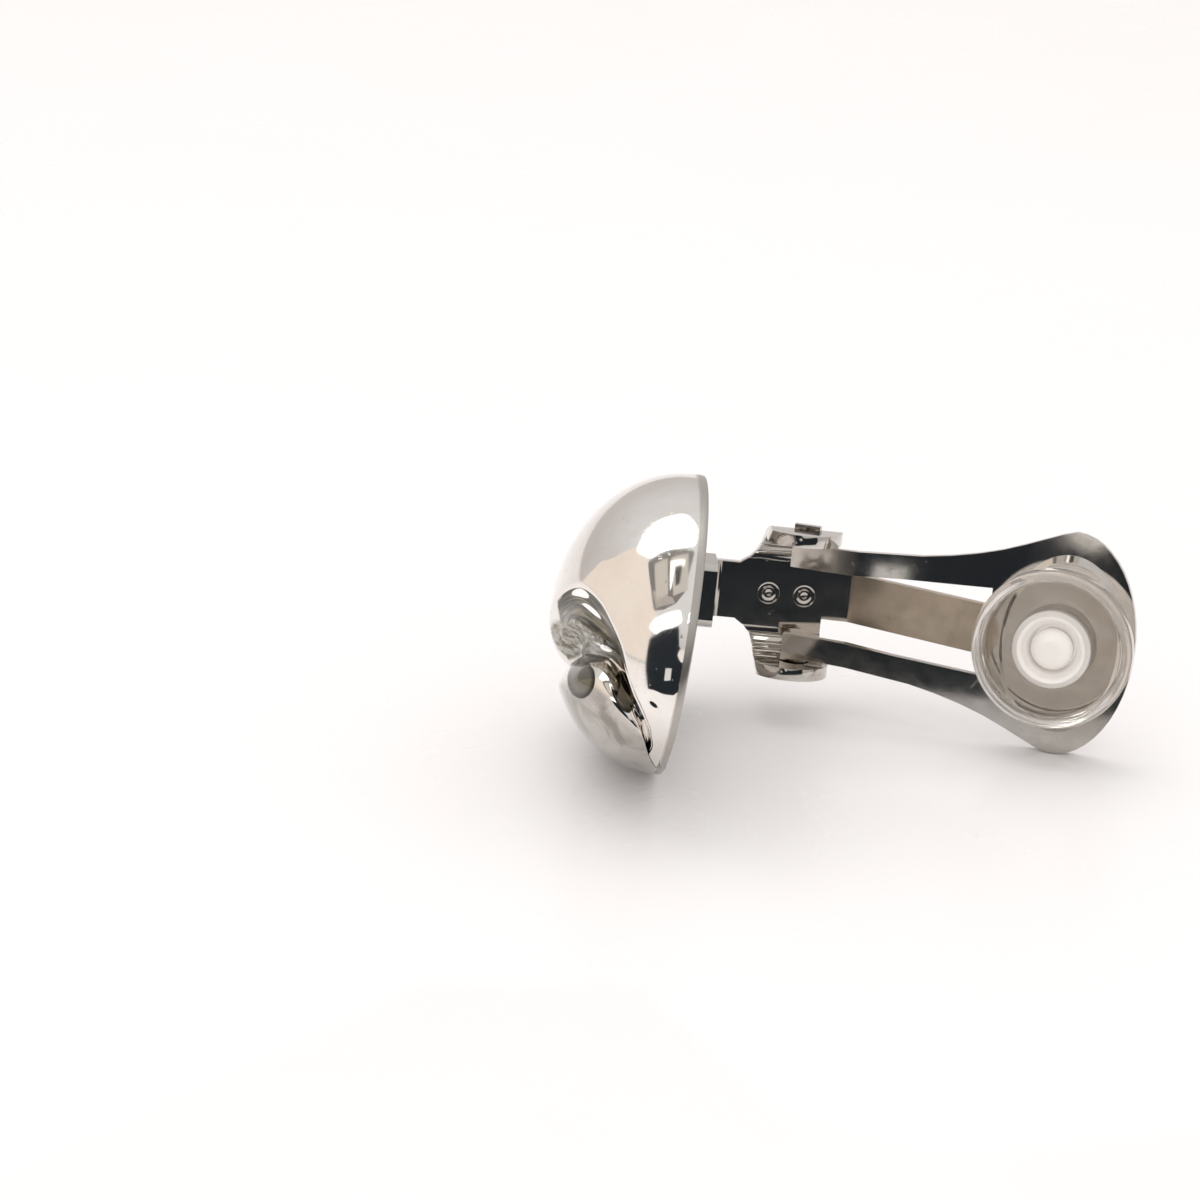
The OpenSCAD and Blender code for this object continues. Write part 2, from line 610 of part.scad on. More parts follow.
module pad_profile() {
    r = pad_d / 2;
    hub = hub_d / 2;
    base = boss_top + seat_gap;
    top = base + pad_t;
    floor_z = top - dish_d;
    stem = stem_d / 2;
    behind = -sheet_t / 2 - seat_gap + boss_h - lap;
    polygon(concat(
        [for (p = PEG) [p[0] * peg_r, top - p[1]]],
        [[peg_r, floor_z - cup_d]],
        [for (p = HUB) [hub - p[0], floor_z + p[1]]],
        [[r - lip_w - lip_slope, floor_z], [r - lip_w, top - lip_fall], [r - lip_w / 2, top]],
        [for (p = LIP) [r - p[0], top - p[1]]],
        [for (p = PAD_SIDE) [r - p[0], base + p[1]]],
        [[stem, base], [stem, behind], [stem + HEAD[0], behind],
            [stem + HEAD[1], behind - head_t], [0, behind - head_t]]
    ));
}

module ear_pad() {
    color([0.92, 0.91, 0.88, 0.6]) at_rest() in_paddle() translate([pad_u, 0, 0])
        rotate_extrude($fn = 64) pad_profile();
}

swirl_front();
clip_paddle();
ear_pad();
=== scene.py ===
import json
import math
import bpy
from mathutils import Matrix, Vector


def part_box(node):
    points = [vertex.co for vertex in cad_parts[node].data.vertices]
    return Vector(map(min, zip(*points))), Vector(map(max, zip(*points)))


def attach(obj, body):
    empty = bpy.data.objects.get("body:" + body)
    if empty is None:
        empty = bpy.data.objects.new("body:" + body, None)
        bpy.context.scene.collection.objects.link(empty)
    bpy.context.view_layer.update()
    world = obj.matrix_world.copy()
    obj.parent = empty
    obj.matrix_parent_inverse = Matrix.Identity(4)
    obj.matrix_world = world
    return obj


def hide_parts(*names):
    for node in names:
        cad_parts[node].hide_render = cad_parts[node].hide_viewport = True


bl_info = {
    "name": "Swirl Clip Earring",
    "version": (1, 0, 0),
    "blender": (4, 5, 0),
    "location": "View3D > Sidebar > Earring",
    "description": "Makes the finished surfaces of a clip on earring with a swirled front",
    "category": "Object",
}

from collections import namedtuple

import bmesh
import bpy
from bmesh.types import BMEdge, BMVert
from bpy.props import FloatProperty, FloatVectorProperty, PointerProperty
from mathutils import Matrix, Vector, noise

MM = 0.001

# Where the camera stands, in metres
CAMERA = (-0.011478, -0.148503, 0.071218)

# Points this close are one: in the swirl, in a CAD node's loose triangles and at a pole
SAME_PLACE = 0.00002 * MM
SAME_CORNER = 0.0005 * MM
SAME_POLE = 0.002 * MM
SHORT_EDGE = 0.0015 * MM

# Triangles of a sheet that turn by less than NEARLY_FLAT are joined. A face of FLAT_FACE
# square metres is flat, and so is one level with it.
NEARLY_FLAT = math.radians(1.2)
FLAT_FACE = 1.2e-6
LEVEL = math.radians(0.5)

# Waves of the unevenness for a metre
SOFT_WAVES = 420
SOLDER_WAVES = 1700
ROUGH_WAVES = 2600

# The front's unevenness: from which share of the rough mark it starts and how far it stands,
# then the same in the hollow, from which height and on which faces, as their normal's z
ROUGH_FROM = 0.2
ROUGH_HIGH = 0.12 * MM
HOLLOW_HIGH = 0.035 * MM
HOLLOW_FROM = 0.4 * MM
FACES_BACK = -0.2

# How far a mark's outline is ragged, and how strongly vinyl bends light
RAGGED = 0.24
VINYL_IOR = 1.43

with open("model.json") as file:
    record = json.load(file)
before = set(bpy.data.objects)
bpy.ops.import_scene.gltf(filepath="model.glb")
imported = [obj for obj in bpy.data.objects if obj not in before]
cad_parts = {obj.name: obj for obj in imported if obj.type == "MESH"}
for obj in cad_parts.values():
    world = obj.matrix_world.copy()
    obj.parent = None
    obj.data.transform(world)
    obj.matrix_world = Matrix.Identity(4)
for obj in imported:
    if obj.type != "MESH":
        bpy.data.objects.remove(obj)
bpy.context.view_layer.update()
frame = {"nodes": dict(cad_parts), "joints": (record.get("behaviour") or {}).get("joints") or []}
hinge = frame["joints"][0]

# Sections along the valley, from its tail at the hinge end to its foot at the hook end.
# ax and ay place the valley, as shares of half the length and half the width. deep, wall,
# edge, scoop and round are shares of the valley's depth, the wall's width, the scoop's width,
# the scoop's depth and the shoulder's width. big and small are the places on the rim that
# the section runs to, in degrees. The first and last rows close the two ends.
Section = namedtuple("Section", "ax ay deep wall edge scoop round big small")
SWIRL = [
    Section(-0.965, -0.2575, 0.00, 0.000, 0.000, 0.00, 0.00, 195.00, 195.00),
    Section(-0.964, -0.262, 0.08, 0.040, 0.025, 0.10, 0.08, 193.5, 196.5),
    Section(-0.890, -0.425, 0.26, 0.100, 0.070, 0.16, 0.28, 188.0, 203.0),
    Section(-0.805, -0.535, 0.40, 0.130, 0.085, 0.22, 0.42, 181.0, 210.0),
    Section(-0.700, -0.610, 0.50, 0.145, 0.105, 0.28, 0.55, 172.0, 218.0),
    Section(-0.570, -0.645, 0.57, 0.160, 0.115, 0.36, 0.65, 160.0, 227.0),
    Section(-0.415, -0.630, 0.62, 0.190, 0.140, 0.46, 0.75, 147.0, 236.0),
    Section(-0.255, -0.575, 0.68, 0.260, 0.200, 0.60, 0.84, 132.0, 244.0),
    Section(-0.110, -0.505, 0.76, 0.370, 0.310, 0.74, 0.88, 116.0, 251.0),
    Section(0.030, -0.440, 0.85, 0.530, 0.470, 0.84, 0.84, 101.0, 257.0),
    Section(0.170, -0.375, 0.93, 0.740, 0.720, 0.90, 0.74, 86.0, 263.0),
    Section(0.320, -0.325, 0.98, 0.990, 1.000, 0.94, 0.62, 71.0, 269.0),
    Section(0.475, -0.270, 1.00, 1.000, 0.980, 0.98, 0.54, 57.0, 275.0),
    Section(0.615, -0.215, 1.00, 0.900, 0.770, 1.00, 0.52, 43.0, 281.0),
    Section(0.740, -0.185, 0.96, 0.740, 0.520, 0.80, 0.55, 29.0, 287.0),
    Section(0.820, -0.218, 0.87, 0.480, 0.320, 0.42, 0.57, 13.0, 292.0),
    Section(0.858, -0.295, 0.73, 0.320, 0.225, 0.22, 0.50, -1.0, 296.0),
    Section(0.871, -0.382, 0.55, 0.210, 0.155, 0.15, 0.38, -15.0, 299.5),
    Section(0.848, -0.486, 0.38, 0.140, 0.100, 0.12, 0.25, -27.5, 302.2),
    Section(0.768, -0.622, 0.21, 0.100, 0.070, 0.10, 0.14, -37.5, 304.3),
    Section(0.606, -0.794, 0.08, 0.050, 0.030, 0.08, 0.08, -50.5, 306.0),
    Section(0.611, -0.790, 0.00, 0.000, 0.000, 0.00, 0.00, -52.25, 307.75),
]

# Steps between two sections, and across the wall, the scoop and the plain dome
SECTION_STEPS = 11
WALL_STEPS = 16
SCOOP_STEPS = 16
DOME_STEPS = 34
EDGE_STEPS = WALL_STEPS + SCOOP_STEPS
SIDE_STEPS = EDGE_STEPS + DOME_STEPS

# Rings of the hollow in the back, as shares of its half length and half width
HOLLOW_RINGS = [0.985, 0.94, 0.87, 0.78, 0.66, 0.52, 0.36, 0.19]

# Small dents in the front: place as shares of half the length and half the width, then the
# radius and depth in millimetres. A dent ends at DENT_END times its radius.
Dent = namedtuple("Dent", "x y radius depth")
DENT_END = 2.5
DENTS = [
    Dent(0.954, -0.238, 0.26, 0.06),
    Dent(0.954, -0.262, 0.26, 0.06),
    Dent(0.954, -0.285, 0.22, 0.05),
    Dent(-0.142, 0.359, 0.10, 0.04),
    Dent(0.559, 0.458, 0.08, 0.04),
    Dent(0.171, 0.871, 0.09, 0.03),
    Dent(0.400, 0.617, 0.10, 0.02),
]

# Marks on the swirl, each an oval: its middle along the valley, counted in sections, and across
# it, then its half length and half width. Across, 0 is the valley, 1 the wall's top, 2 the
# scoop's edge and 3 the rim, and on the small lobe -1 is the shoulder's foot and -2 the rim.
# A mark fades out at MARK_END times its half length and half width.
Mark = namedtuple("Mark", "kind along across long wide")
SCOOP_EDGE = 2
ON_LOBE = -0.02
MARK_END = 1.5
MARKS = [
    Mark("olive", 12.2, 1.50, 2.9, 0.62),
    Mark("olive", 14.0, 0.65, 1.4, 0.60),
    Mark("olive", 10.4, 0.10, 3.6, 0.36),
    Mark("olive", 15.9, -0.15, 0.95, 0.62),
    Mark("rough", 10.4, 0.75, 2.3, 0.34),
    Mark("rough", 8.4, 1.20, 1.0, 0.75),
    # These marks are painted highlights: near-white patches in the colour.
    Mark("gleam", 11.0, 1.84, 0.42, 0.10),
    Mark("gleam", 11.7, 1.58, 0.65, 0.07),
    Mark("gleam", 13.0, 0.40, 0.60, 0.13),
    Mark("gleam", 14.95, -0.28, 0.50, 0.15),
    # This mark is painted shade: it darkens the small lobe's colour.
    Mark("dull", 12.0, -1.55, 12.0, 0.75),
]


def length(name, description, millimetres):
    """A size in the panel, given in millimetres and kept in metres."""
    return FloatProperty(
        name=name, description=description, default=millimetres * MM, unit="LENGTH", precision=5
    )


def share(name, description, value):
    """A number from 0 to 1 in the panel."""
    return FloatProperty(name=name, description=description, default=value, min=0, max=1)


def turn(name, description, degrees):
    """An angle in the panel, given in degrees and kept in radians."""
    return FloatProperty(
        name=name, description=description, default=math.radians(degrees), subtype="ANGLE"
    )


def colour(name, description, value):
    """A linear colour in the panel."""
    return FloatVectorProperty(
        name=name, description=description, default=value, size=3, min=0, max=1, subtype="COLOR"
    )


def spot(name, description, value):
    """A place in the panel, in metres."""
    return FloatVectorProperty(
        name=name, description=description, default=value, size=3, unit="LENGTH", precision=5
    )


class FrontSizes(bpy.types.PropertyGroup):
    """Sizes of the domed front"""

    long: length("Length", "Length of the oval front", 22.2)
    wide: length("Width", "Width of the oval front", 16.4)
    high: length("Height", "Height of the front above its back plane", 7.3)
    rim: length("Rim band", "Height of the plain band around the rim", 0.35)
    hollow: length("Hollow", "Depth of the hollow in the back", 3.4)
    rim_side: length("Back rim", "Width of the flat rim on the back, at the sides", 2.1)
    rim_end: length("Back rim end", "Width of the flat rim at the hook end", 2.6)
    heel: length("Heel", "Solid metal left behind the hinge end", 5.2)
    valley: length("Valley", "Greatest depth of the valley", 2.2)
    wall: length("Wall", "Greatest width of the steep wall", 3.1)
    scoop_wide: length("Scoop width", "Greatest distance from the valley to the scoop's edge", 5.65)
    scoop_deep: length("Scoop depth", "Greatest depth of the scoop's inner edge", 0.8)
    shoulder: length("Shoulder", "Greatest width of the small lobe's round shoulder", 2.0)
    full: length("Fullness", "Extra fullness of the small lobe", 0.1)
    soften: length("Edge", "Radius worn onto the rim's sharp edges", 0.09)
    scoop_hollow: share("Scoop hollow", "Hollow between the scoop's two edges", 0.35)


class CapSizes(bpy.types.PropertyGroup):
    """The dark oval cap on the small lobe"""

    place: spot("Middle", "Middle of the cap", (-0.01446, -0.00708, 0.00781))
    seen_from: spot("Seen from", "Place from which the cap is an upright oval", CAMERA)
    wide: length("Width", "Half width of the cap", 0.78)
    high: length("Height", "Half height of the cap", 1.12)


class BracketSizes(bpy.types.PropertyGroup):
    """Sizes that place the soldered bracket and the clip on it"""

    web_x: length("Web place", "Distance from the front's middle to the web", 8.65)
    thick: length("Sheet", "Thickness of the bracket's sheet", 0.7)
    offset: length("Offset", "Distance by which the bracket sits off the middle line", 0.4)
    skew: turn("Skew", "Angle at which the bracket was soldered askew", 4)
    pivot_out: length("Pivot reach", "Distance from the web to the pivot", 1.45)
    pivot_z: length("Pivot height", "Distance from the back plane to the pivot", 7.1)
    foot_long: length("Foot length", "Length of the foot", 3.3)
    foot_wide: length("Foot width", "Width of the foot", 3.8)
    land: length("Solder height", "Height of the solder under the foot", 1.25)
    rock: turn("Rock", "Tilt along the front at which the earring rests", -10.5)
    lean: turn("Open lean", "Lean of the open paddle towards the closed position", 18.5)
    edge: length("Edge", "Width of the worn edges of the sheet", 0.065)


class PadSizes(bpy.types.PropertyGroup):
    """Sizes of the clear ear pad"""

    wide: length("Diameter", "Diameter of the pad", 9.0)
    thick: length("Thickness", "Thickness of the pad", 2.0)
    lip: length("Lip", "Width of the raised lip", 0.5)
    dish: length("Dish", "Depth of the dished face", 0.45)
    hub: length("Hub", "Diameter of the hub ring", 4.2)
    stem: length("Stem", "Diameter of the stem", 2.4)
    head: length("Head", "Height of the stem's head", 0.45)
    reach: length("Reach", "Distance from the pivot to the pad's middle", 15.0)
    sheet: length("Sheet", "Thickness of the paddle's sheet", 0.5)
    boss: length("Boss", "Height of the paddle's boss", 0.35)
    gap: length("Seat gap", "Gap between the pad and the paddle", 0.05)
    wobble: length("Wobble", "Unevenness of the soft surface", 0.03)


class Finish(bpy.types.PropertyGroup):
    """Colours of metal, vinyl and floor"""

    silver: colour("Silver", "Polished silver tone of the front", (0.86, 0.835, 0.81))
    warm: colour("Warm silver", "Warmer tone in soft clouds", (0.80, 0.75, 0.70))
    # Painted shade: this colour darkens the small lobe, and the worn rim band too.
    dull: colour("Dull silver", "Duller tone of the small lobe", (0.30, 0.28, 0.25))
    oval: colour("Oval", "Middle of the small lobe's dark ovals", (0.17, 0.16, 0.13))
    tarnish: colour("Tarnish", "Olive tarnish in the swirl", (0.24, 0.215, 0.155))
    deep: colour("Deep tarnish", "Darkest tarnish in the swirl", (0.035, 0.034, 0.027))
    cast: colour("Cast grey", "Rough cast metal where polish can't reach", (0.56, 0.55, 0.52))
    plate: colour("Plate", "Bright plate of bracket and clip", (0.62, 0.60, 0.57))
    brown: colour("Browned plate", "Browned plate on the tongue", (0.56, 0.48, 0.39))
    solder: colour("Solder", "Dull grey solder", (0.17, 0.165, 0.15))
    vinyl: colour("Vinyl", "Clear vinyl, slightly aged", (0.96, 0.93, 0.89))
    floor: colour("Floor", "Pale glossy surface", (0.86, 0.835, 0.83))


class StageSizes(bpy.types.PropertyGroup):
    """Floor, camera and light"""

    floor: length("Floor", "Half width of the floor", 1500)
    camera: spot("Camera", "Place of the camera", CAMERA)
    tilt: turn("Camera tilt", "Angle at which the camera looks down", 22.59)
    swing: turn("Camera swing", "Angle at which the camera looks to the side", -0.8228)
    roll: turn("Camera roll", "Roll of the camera", 0.734)
    lens: FloatProperty(name="Lens", description="Focal length on 36 mm", default=87.48)
    reach: length("Card distance", "Distance of the light and dark cards", 420)
    middle: length("Middle", "Height of the front's middle above the floor", 8)


def settings():
    """The earring's settings in this scene."""
    return bpy.context.scene.swirl_earring


def front_place():
    """The front's own frame in the resting earring: x along it, z out of its crown."""
    bracket = settings().bracket
    upright = Matrix.Rotation(math.radians(-90), 4, "Z") @ Matrix.Rotation(math.radians(90), 4, "X")
    rocked = Matrix.Rotation(bracket.rock, 4, "X") @ upright
    askew = Matrix.Rotation(bracket.skew, 4, "X")
    # The roll turns the line of the hinge to where the frame has it
    line = -((rocked @ askew).to_3x3() @ Vector((0, 1, 0)))
    axis = Vector(hinge["axis"])
    roll = math.atan2(axis.x, axis.z) - math.atan2(line.x, line.z)
    turned = Matrix.Rotation(roll, 4, "Y") @ rocked
    return Matrix.Translation(Vector(hinge["pos_m"]) - turned @ pivot_in_front()) @ turned


def pivot_in_front():
    """The hinge's pivot in the front's frame."""
    bracket = settings().bracket
    pivot = Vector((bracket.pivot_out - bracket.web_x, 0, -bracket.pivot_z))
    return Matrix.Rotation(bracket.skew, 4, "X") @ pivot + Vector((0, bracket.offset, 0))


def bracket_place():
    """The bracket's frame in the resting earring."""
    bracket = settings().bracket
    askew = Matrix.Rotation(bracket.skew, 4, "X")
    return front_place() @ Matrix.Translation((0, bracket.offset, 0)) @ askew


def paddle_place():
    """The paddle's frame: x from the pivot to the tip, z towards the ear pad."""
    bracket = settings().bracket
    pivot = Matrix.Translation((bracket.pivot_out - bracket.web_x, 0, -bracket.pivot_z))
    return bracket_place() @ pivot @ Matrix.Rotation(math.radians(90) - bracket.lean, 4, "Y")


def finish_mesh(bm, name, sharp=35, flat=False):
    """Turns a bmesh into an object with sharp edges, all smooth or with its own flat faces."""
    for edge in bm.edges:
        edge.smooth = len(edge.link_faces) == 2 and edge.calc_face_angle(0) < math.radians(sharp)
    for face in bm.faces:
        face.smooth = face.smooth or not flat
    mesh = bpy.data.meshes.new(name)
    bm.to_mesh(mesh)
    bm.free()
    kept = mesh.attributes.get("custom_normal")
    if kept:
        mesh.attributes.remove(kept)
    made = bpy.data.objects.new(name, mesh)
    bpy.context.scene.collection.objects.link(made)
    return made


def copy_of_node(name):
    """A bmesh of a CAD node's mesh, with its loose triangles joined."""
    bm = bmesh.new()
    bm.from_mesh(frame["nodes"][name].data)
    bmesh.ops.remove_doubles(bm, verts=bm.verts, dist=SAME_CORNER)
    bmesh.ops.dissolve_degenerate(bm, edges=bm.edges, dist=SAME_CORNER)
    return bm


def only(kind, geometry):
    """The points or the edges in what a bmesh operator made."""
    return [g for g in geometry if isinstance(g, kind)]


def round_off(bm, geometry, offset, segments, affect="EDGES", **more):
    """Bevels edges or corners to a plain round."""
    return bmesh.ops.bevel(
        bm, geom=geometry, offset=offset, offset_type="OFFSET", segments=segments, profile=0.5,
        affect=affect, material=-1, **more,
    )


def ripple(place):
    """Soft unevenness at a place, from about -1 to 1."""
    return noise.fractal(place * SOFT_WAVES, 1.0, 2.0, 2)


def dress(made, body, slot, material, *nodes):
    """Gives a finished piece its body and its material, and hides the CAD nodes that it stands in
    for.
    """
    made.data.materials.clear()
    made.data.materials.append(material)
    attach(made, body)
    if nodes:
        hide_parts(*nodes)
    return made


def float_layer(bm, name):
    """A number on each vertex, which the materials read by name."""
    return bm.verts.layers.float.get(name) or bm.verts.layers.float.new(name)


def smooth(a, b, c, d, part):
    """A smooth curve through four values, read between the two middle ones."""
    bend = 2 * a - 5 * b + 4 * c - d
    turned = 3 * b - a - 3 * c + d
    return b + part / 2 * ((c - a) + part * (bend + part * turned))


def section_at(place):
    """A smooth curve through the swirl's sections, read at a place counted in sections."""
    last = len(SWIRL) - 1
    at = min(int(place), last - 1)
    rows = (SWIRL[max(0, min(last, at + k))] for k in (-1, 0, 1, 2))
    return Section(*(smooth(*values, place - at) for values in zip(*rows)))


class Crown:
    """Works out points of the swirled crown from the front's sizes."""

    # Most that the wall takes of the way to the scoop's edge, and that the wall, the edge and
    # the shoulder take of the way to the rim
    WALL_OF_EDGE = 0.9
    WALL_MOST = 0.5
    EDGE_MOST = 0.7
    SHOULDER_MOST = 0.6
    # How suddenly the wall rises, and the shares of round and of slope in the shoulder
    WALL_CURVE = 3.5
    SHOULDER_ROUND = 0.65
    SHOULDER_SLOPE = 0.35

    def __init__(self, front):
        self.front = front
        self.half = Vector((front.long / 2, front.wide / 2, front.high - front.rim))

    def stretched(self, unit):
        return Vector(a * b for a, b in zip(unit, self.half))

    def arc(self, section, rim):
        """The arc from the valley to a place on the rim, and its angle for a metre."""
        rise = math.sqrt(max(0, 1 - section.ax**2 - section.ay**2))
        valley = Vector((section.ax, section.ay, rise))
        valley.normalize()
        foot = Vector((math.cos(math.radians(rim)), math.sin(math.radians(rim)), 0))
        span = valley.angle(foot)
        along = self.stretched((foot - valley * math.cos(span)) / math.sin(span))
        return valley, foot, span, 1 / along.length

    def point(self, valley, foot, span, angle, depth):
        unit = (valley * math.sin(span - angle) + foot * math.sin(angle)) / math.sin(span)
        place = self.stretched(unit)
        return place * (1 - depth / place.length) + Vector((0, 0, self.front.rim))

    def big_side(self, section, step):
        """A point on the big lobe's side: the wall, the scoop or the plain dome."""
        front = self.front
        valley, foot, span, per_metre = self.arc(section, section.big)
        edge = section.edge * front.scoop_wide
        wall = min(section.wall * front.wall, self.WALL_OF_EDGE * edge)
        wall_angle = min(wall * per_metre, self.WALL_MOST * span)
        edge_angle = min(edge * per_metre, self.EDGE_MOST * span)
        deep = section.deep * front.valley
        scoop = section.scoop * front.scoop_deep
        if step <= WALL_STEPS:
            q = step / WALL_STEPS
            depth = deep + (scoop - deep) * q**self.WALL_CURVE
            return self.point(valley, foot, span, wall_angle * q, depth)
        if step <= EDGE_STEPS:
            q = (step - WALL_STEPS) / SCOOP_STEPS
            depth = scoop * (1 - q) * (1 + 4 * front.scoop_hollow * q)
            angle = wall_angle + (edge_angle - wall_angle) * q
            return self.point(valley, foot, span, angle, depth)
        q = (step - EDGE_STEPS) / DOME_STEPS
        return self.point(valley, foot, span, edge_angle + (span - edge_angle) * q, 0)

    def small_side(self, section, step, along):
        """A point on the small lobe's side: its round shoulder or the plain lobe."""
        front = self.front
        valley, foot, span, per_metre = self.arc(section, section.small)
        shoulder = min(section.round * front.shoulder * per_metre, self.SHOULDER_MOST * span)
        deep = section.deep * front.valley
        if step <= EDGE_STEPS:
            q = step / EDGE_STEPS
            fall = 1 - math.sqrt(max(0, 1 - (1 - q) ** 2))
            slope = (1 - q) ** 1.5
            depth = deep * (self.SHOULDER_ROUND * fall + self.SHOULDER_SLOPE * slope)
            return self.point(valley, foot, span, shoulder * q, depth)
        q = (step - EDGE_STEPS) / DOME_STEPS
        swell = front.full * math.sin(math.pi * along) * math.sin(math.pi * q)
        return self.point(valley, foot, span, shoulder + (span - shoulder) * q, -swell)


def swirl_grid(front):
    """The crown as a grid, one row for each section and one column for each step across."""
    rows = SECTION_STEPS * (len(SWIRL) - 1)
    columns = 2 * SIDE_STEPS
    bm = bmesh.new()
    bmesh.ops.create_grid(bm, x_segments=rows, y_segments=columns, size=0.5)
    along = float_layer(bm, "along")
    across = float_layer(bm, "across")
    kinds = {mark.kind: float_layer(bm, mark.kind) for mark in MARKS}
    crown = Crown(front)
    for vert in bm.verts:
        row = round((vert.co.x + 0.5) * rows)
        step = round((vert.co.y + 0.5) * columns) - SIDE_STEPS
        place = row / SECTION_STEPS
        section = section_at(place)
        if step >= 0:
            vert.co = crown.big_side(section, step)
        else:
            vert.co = crown.small_side(section, -step, row / rows)
        vert[along] = place
        vert[across] = across_place(step)
        for kind, layer in kinds.items():
            vert[layer] = max(
                mark_share(mark, place, vert[across]) for mark in MARKS if mark.kind == kind
            )
    # The two ends fold shut: each place is on both sides there
    bmesh.ops.remove_doubles(bm, verts=bm.verts, dist=SAME_PLACE)
    bmesh.ops.dissolve_degenerate(bm, edges=bm.edges, dist=SHORT_EDGE)
    bmesh.ops.recalc_face_normals(bm, faces=bm.faces)
    return bm


def mark_cap(bm, cap):
    """Marks the small lobe's dark cap, an oval as seen from its own side."""
    across = float_layer(bm, "across")
    layer = float_layer(bm, "cap")
    view = Vector(cap.seen_from) - Vector(cap.place)
    right = Vector((-view.y, view.x, 0)).normalized()
    up = view.cross(right).normalized()
    for vert in bm.verts:
        away = vert.co - Vector(cap.place)
        oval = math.hypot(away.dot(right) / cap.wide, away.dot(up) / cap.high)
        vert[layer] = max(0, MARK_END - oval) if vert[across] < ON_LOBE else 0


def mark_share(mark, along, across):
    """How much a mark covers a place: 1 in its middle, 0.5 at its outline."""
    if mark.across < SCOOP_EDGE <= across:
        return 0
    away = math.hypot((along - mark.along) / mark.long, (across - mark.across) / mark.wide)
    return max(0, min(1, MARK_END - away))


def across_place(step):
    """Place across the swirl: 0 in the valley, 1 on the wall's top, 2 on the scoop's edge and 3
    on the rim, and on the small lobe -1 at the shoulder's foot and -2 on the rim."""
    if step < -EDGE_STEPS:
        return -1 + (step + EDGE_STEPS) / DOME_STEPS
    if step < 0:
        return step / EDGE_STEPS
    if step <= WALL_STEPS:
        return step / WALL_STEPS
    if step <= EDGE_STEPS:
        return 1 + (step - WALL_STEPS) / SCOOP_STEPS
    return 2 + (step - EDGE_STEPS) / DOME_STEPS


def close_back(bm, front):
    """Takes the rim down to the back plane and closes the back with its oval hollow."""
    half_long = front.long / 2
    half_wide = front.wide / 2
    oval_long = (front.long - front.heel - front.rim_end) / 2
    oval_wide = half_wide - front.rim_side
    oval_x = half_long - front.rim_end - oval_long

    def next_ring(edges, place_of):
        made = bmesh.ops.extrude_edge_only(bm, edges=edges)["geom"]
        for vert in only(BMVert, made):
            angle = math.atan2(vert[ring_y], vert[ring_x])
            vert.co = place_of(math.cos(angle), math.sin(angle))
            for layer in marked:
                vert[layer] = 0
        return only(BMEdge, made)

    ring_x = float_layer(bm, "ring_x")
    ring_y = float_layer(bm, "ring_y")
    edge = float_layer(bm, "edge")
    marked = [float_layer(bm, kind) for kind in {mark.kind for mark in MARKS}]
    ring = [e for e in bm.edges if e.is_boundary]
    for vert in {v for e in ring for v in e.verts}:
        vert[ring_x] = vert.co.x / half_long
        vert[ring_y] = vert.co.y / half_wide
    rim_top = list(ring)
    ring = next_ring(ring, lambda c, s: Vector((half_long * c, half_wide * s, 0)))
    rim_low = list(ring)
    ring = next_ring(ring, lambda c, s: Vector((oval_x + oval_long * c, oval_wide * s, 0)))
    mouth = list(ring)
    for q in HOLLOW_RINGS:
        rise = front.hollow * math.sqrt(1 - q * q)
        ring = next_ring(
            ring, lambda c, s: Vector((oval_x + oval_long * q * c, oval_wide * q * s, rise))
        )
    pole = next_ring(ring, lambda c, s: Vector((oval_x, 0, front.hollow)))
    at_pole = list({v for e in pole for v in e.verts})
    bmesh.ops.remove_doubles(bm, verts=at_pole, dist=SAME_POLE)
    bmesh.ops.recalc_face_normals(bm, faces=bm.faces)
    worn = [e for e in set(rim_top + rim_low + mouth) if e.is_valid]
    for vert in round_off(bm, worn, front.soften, 3, clamp_overlap=False)["verts"]:
        vert[edge] = 1
    # Where the bevel folds over itself, the doubled faces go and the holes are filled again
    bmesh.ops.dissolve_degenerate(bm, edges=bm.edges, dist=SHORT_EDGE)
    doubled = [e for e in bm.edges if len(e.link_faces) > 2]
    bmesh.ops.delete(bm, geom=list({f for e in doubled for f in e.link_faces}), context="FACES")
    bmesh.ops.holes_fill(bm, edges=[e for e in bm.edges if e.is_boundary], sides=0)
    bmesh.ops.recalc_face_normals(bm, faces=bm.faces)


def roughen_front(bm, front):
    """Dents, the rough patch and the grain of the cast hollow, as real unevenness."""
    rough = float_layer(bm, "rough")
    half = Vector((front.long / 2, front.wide / 2, front.high - front.rim))
    dents = []
    for dent in DENTS:
        rise = math.sqrt(max(0, 1 - dent.x**2 - dent.y**2))
        middle = Vector((dent.x * half.x, dent.y * half.y, rise * half.z + front.rim))
        dents.append((middle, dent.radius * MM, dent.depth * MM))
    bm.normal_update()
    moves = {}
    for vert in bm.verts:
        move = 0
        for middle, radius, depth in dents:
            away = (vert.co - middle).length / radius
            if away < DENT_END:
                move -= depth * math.exp(-away * away)
        if vert[rough] > ROUGH_FROM:
            fine = noise.fractal(vert.co * ROUGH_WAVES, 1.0, 2.1, 3)
            move += ROUGH_HIGH * min(1, 2 * vert[rough] - 2 * ROUGH_FROM) * fine
        if vert.co.z > HOLLOW_FROM and vert.normal.z < FACES_BACK:
            move += HOLLOW_HIGH * ripple(vert.co)
        if move:
            moves[vert] = vert.normal * move
    for vert, move in moves.items():
        vert.co += move


def soften_ridge(bm):
    """Rounds the sharp ridges of the swirl a little, as polishing does."""
    bm.normal_update()
    near = set()
    for edge in bm.edges:
        if len(edge.link_faces) == 2 and edge.calc_face_angle(0) > math.radians(20):
            near.update(edge.verts)
    bmesh.ops.smooth_vert(
        bm, verts=list(near), factor=0.3, use_axis_x=True, use_axis_y=True, use_axis_z=True
    )


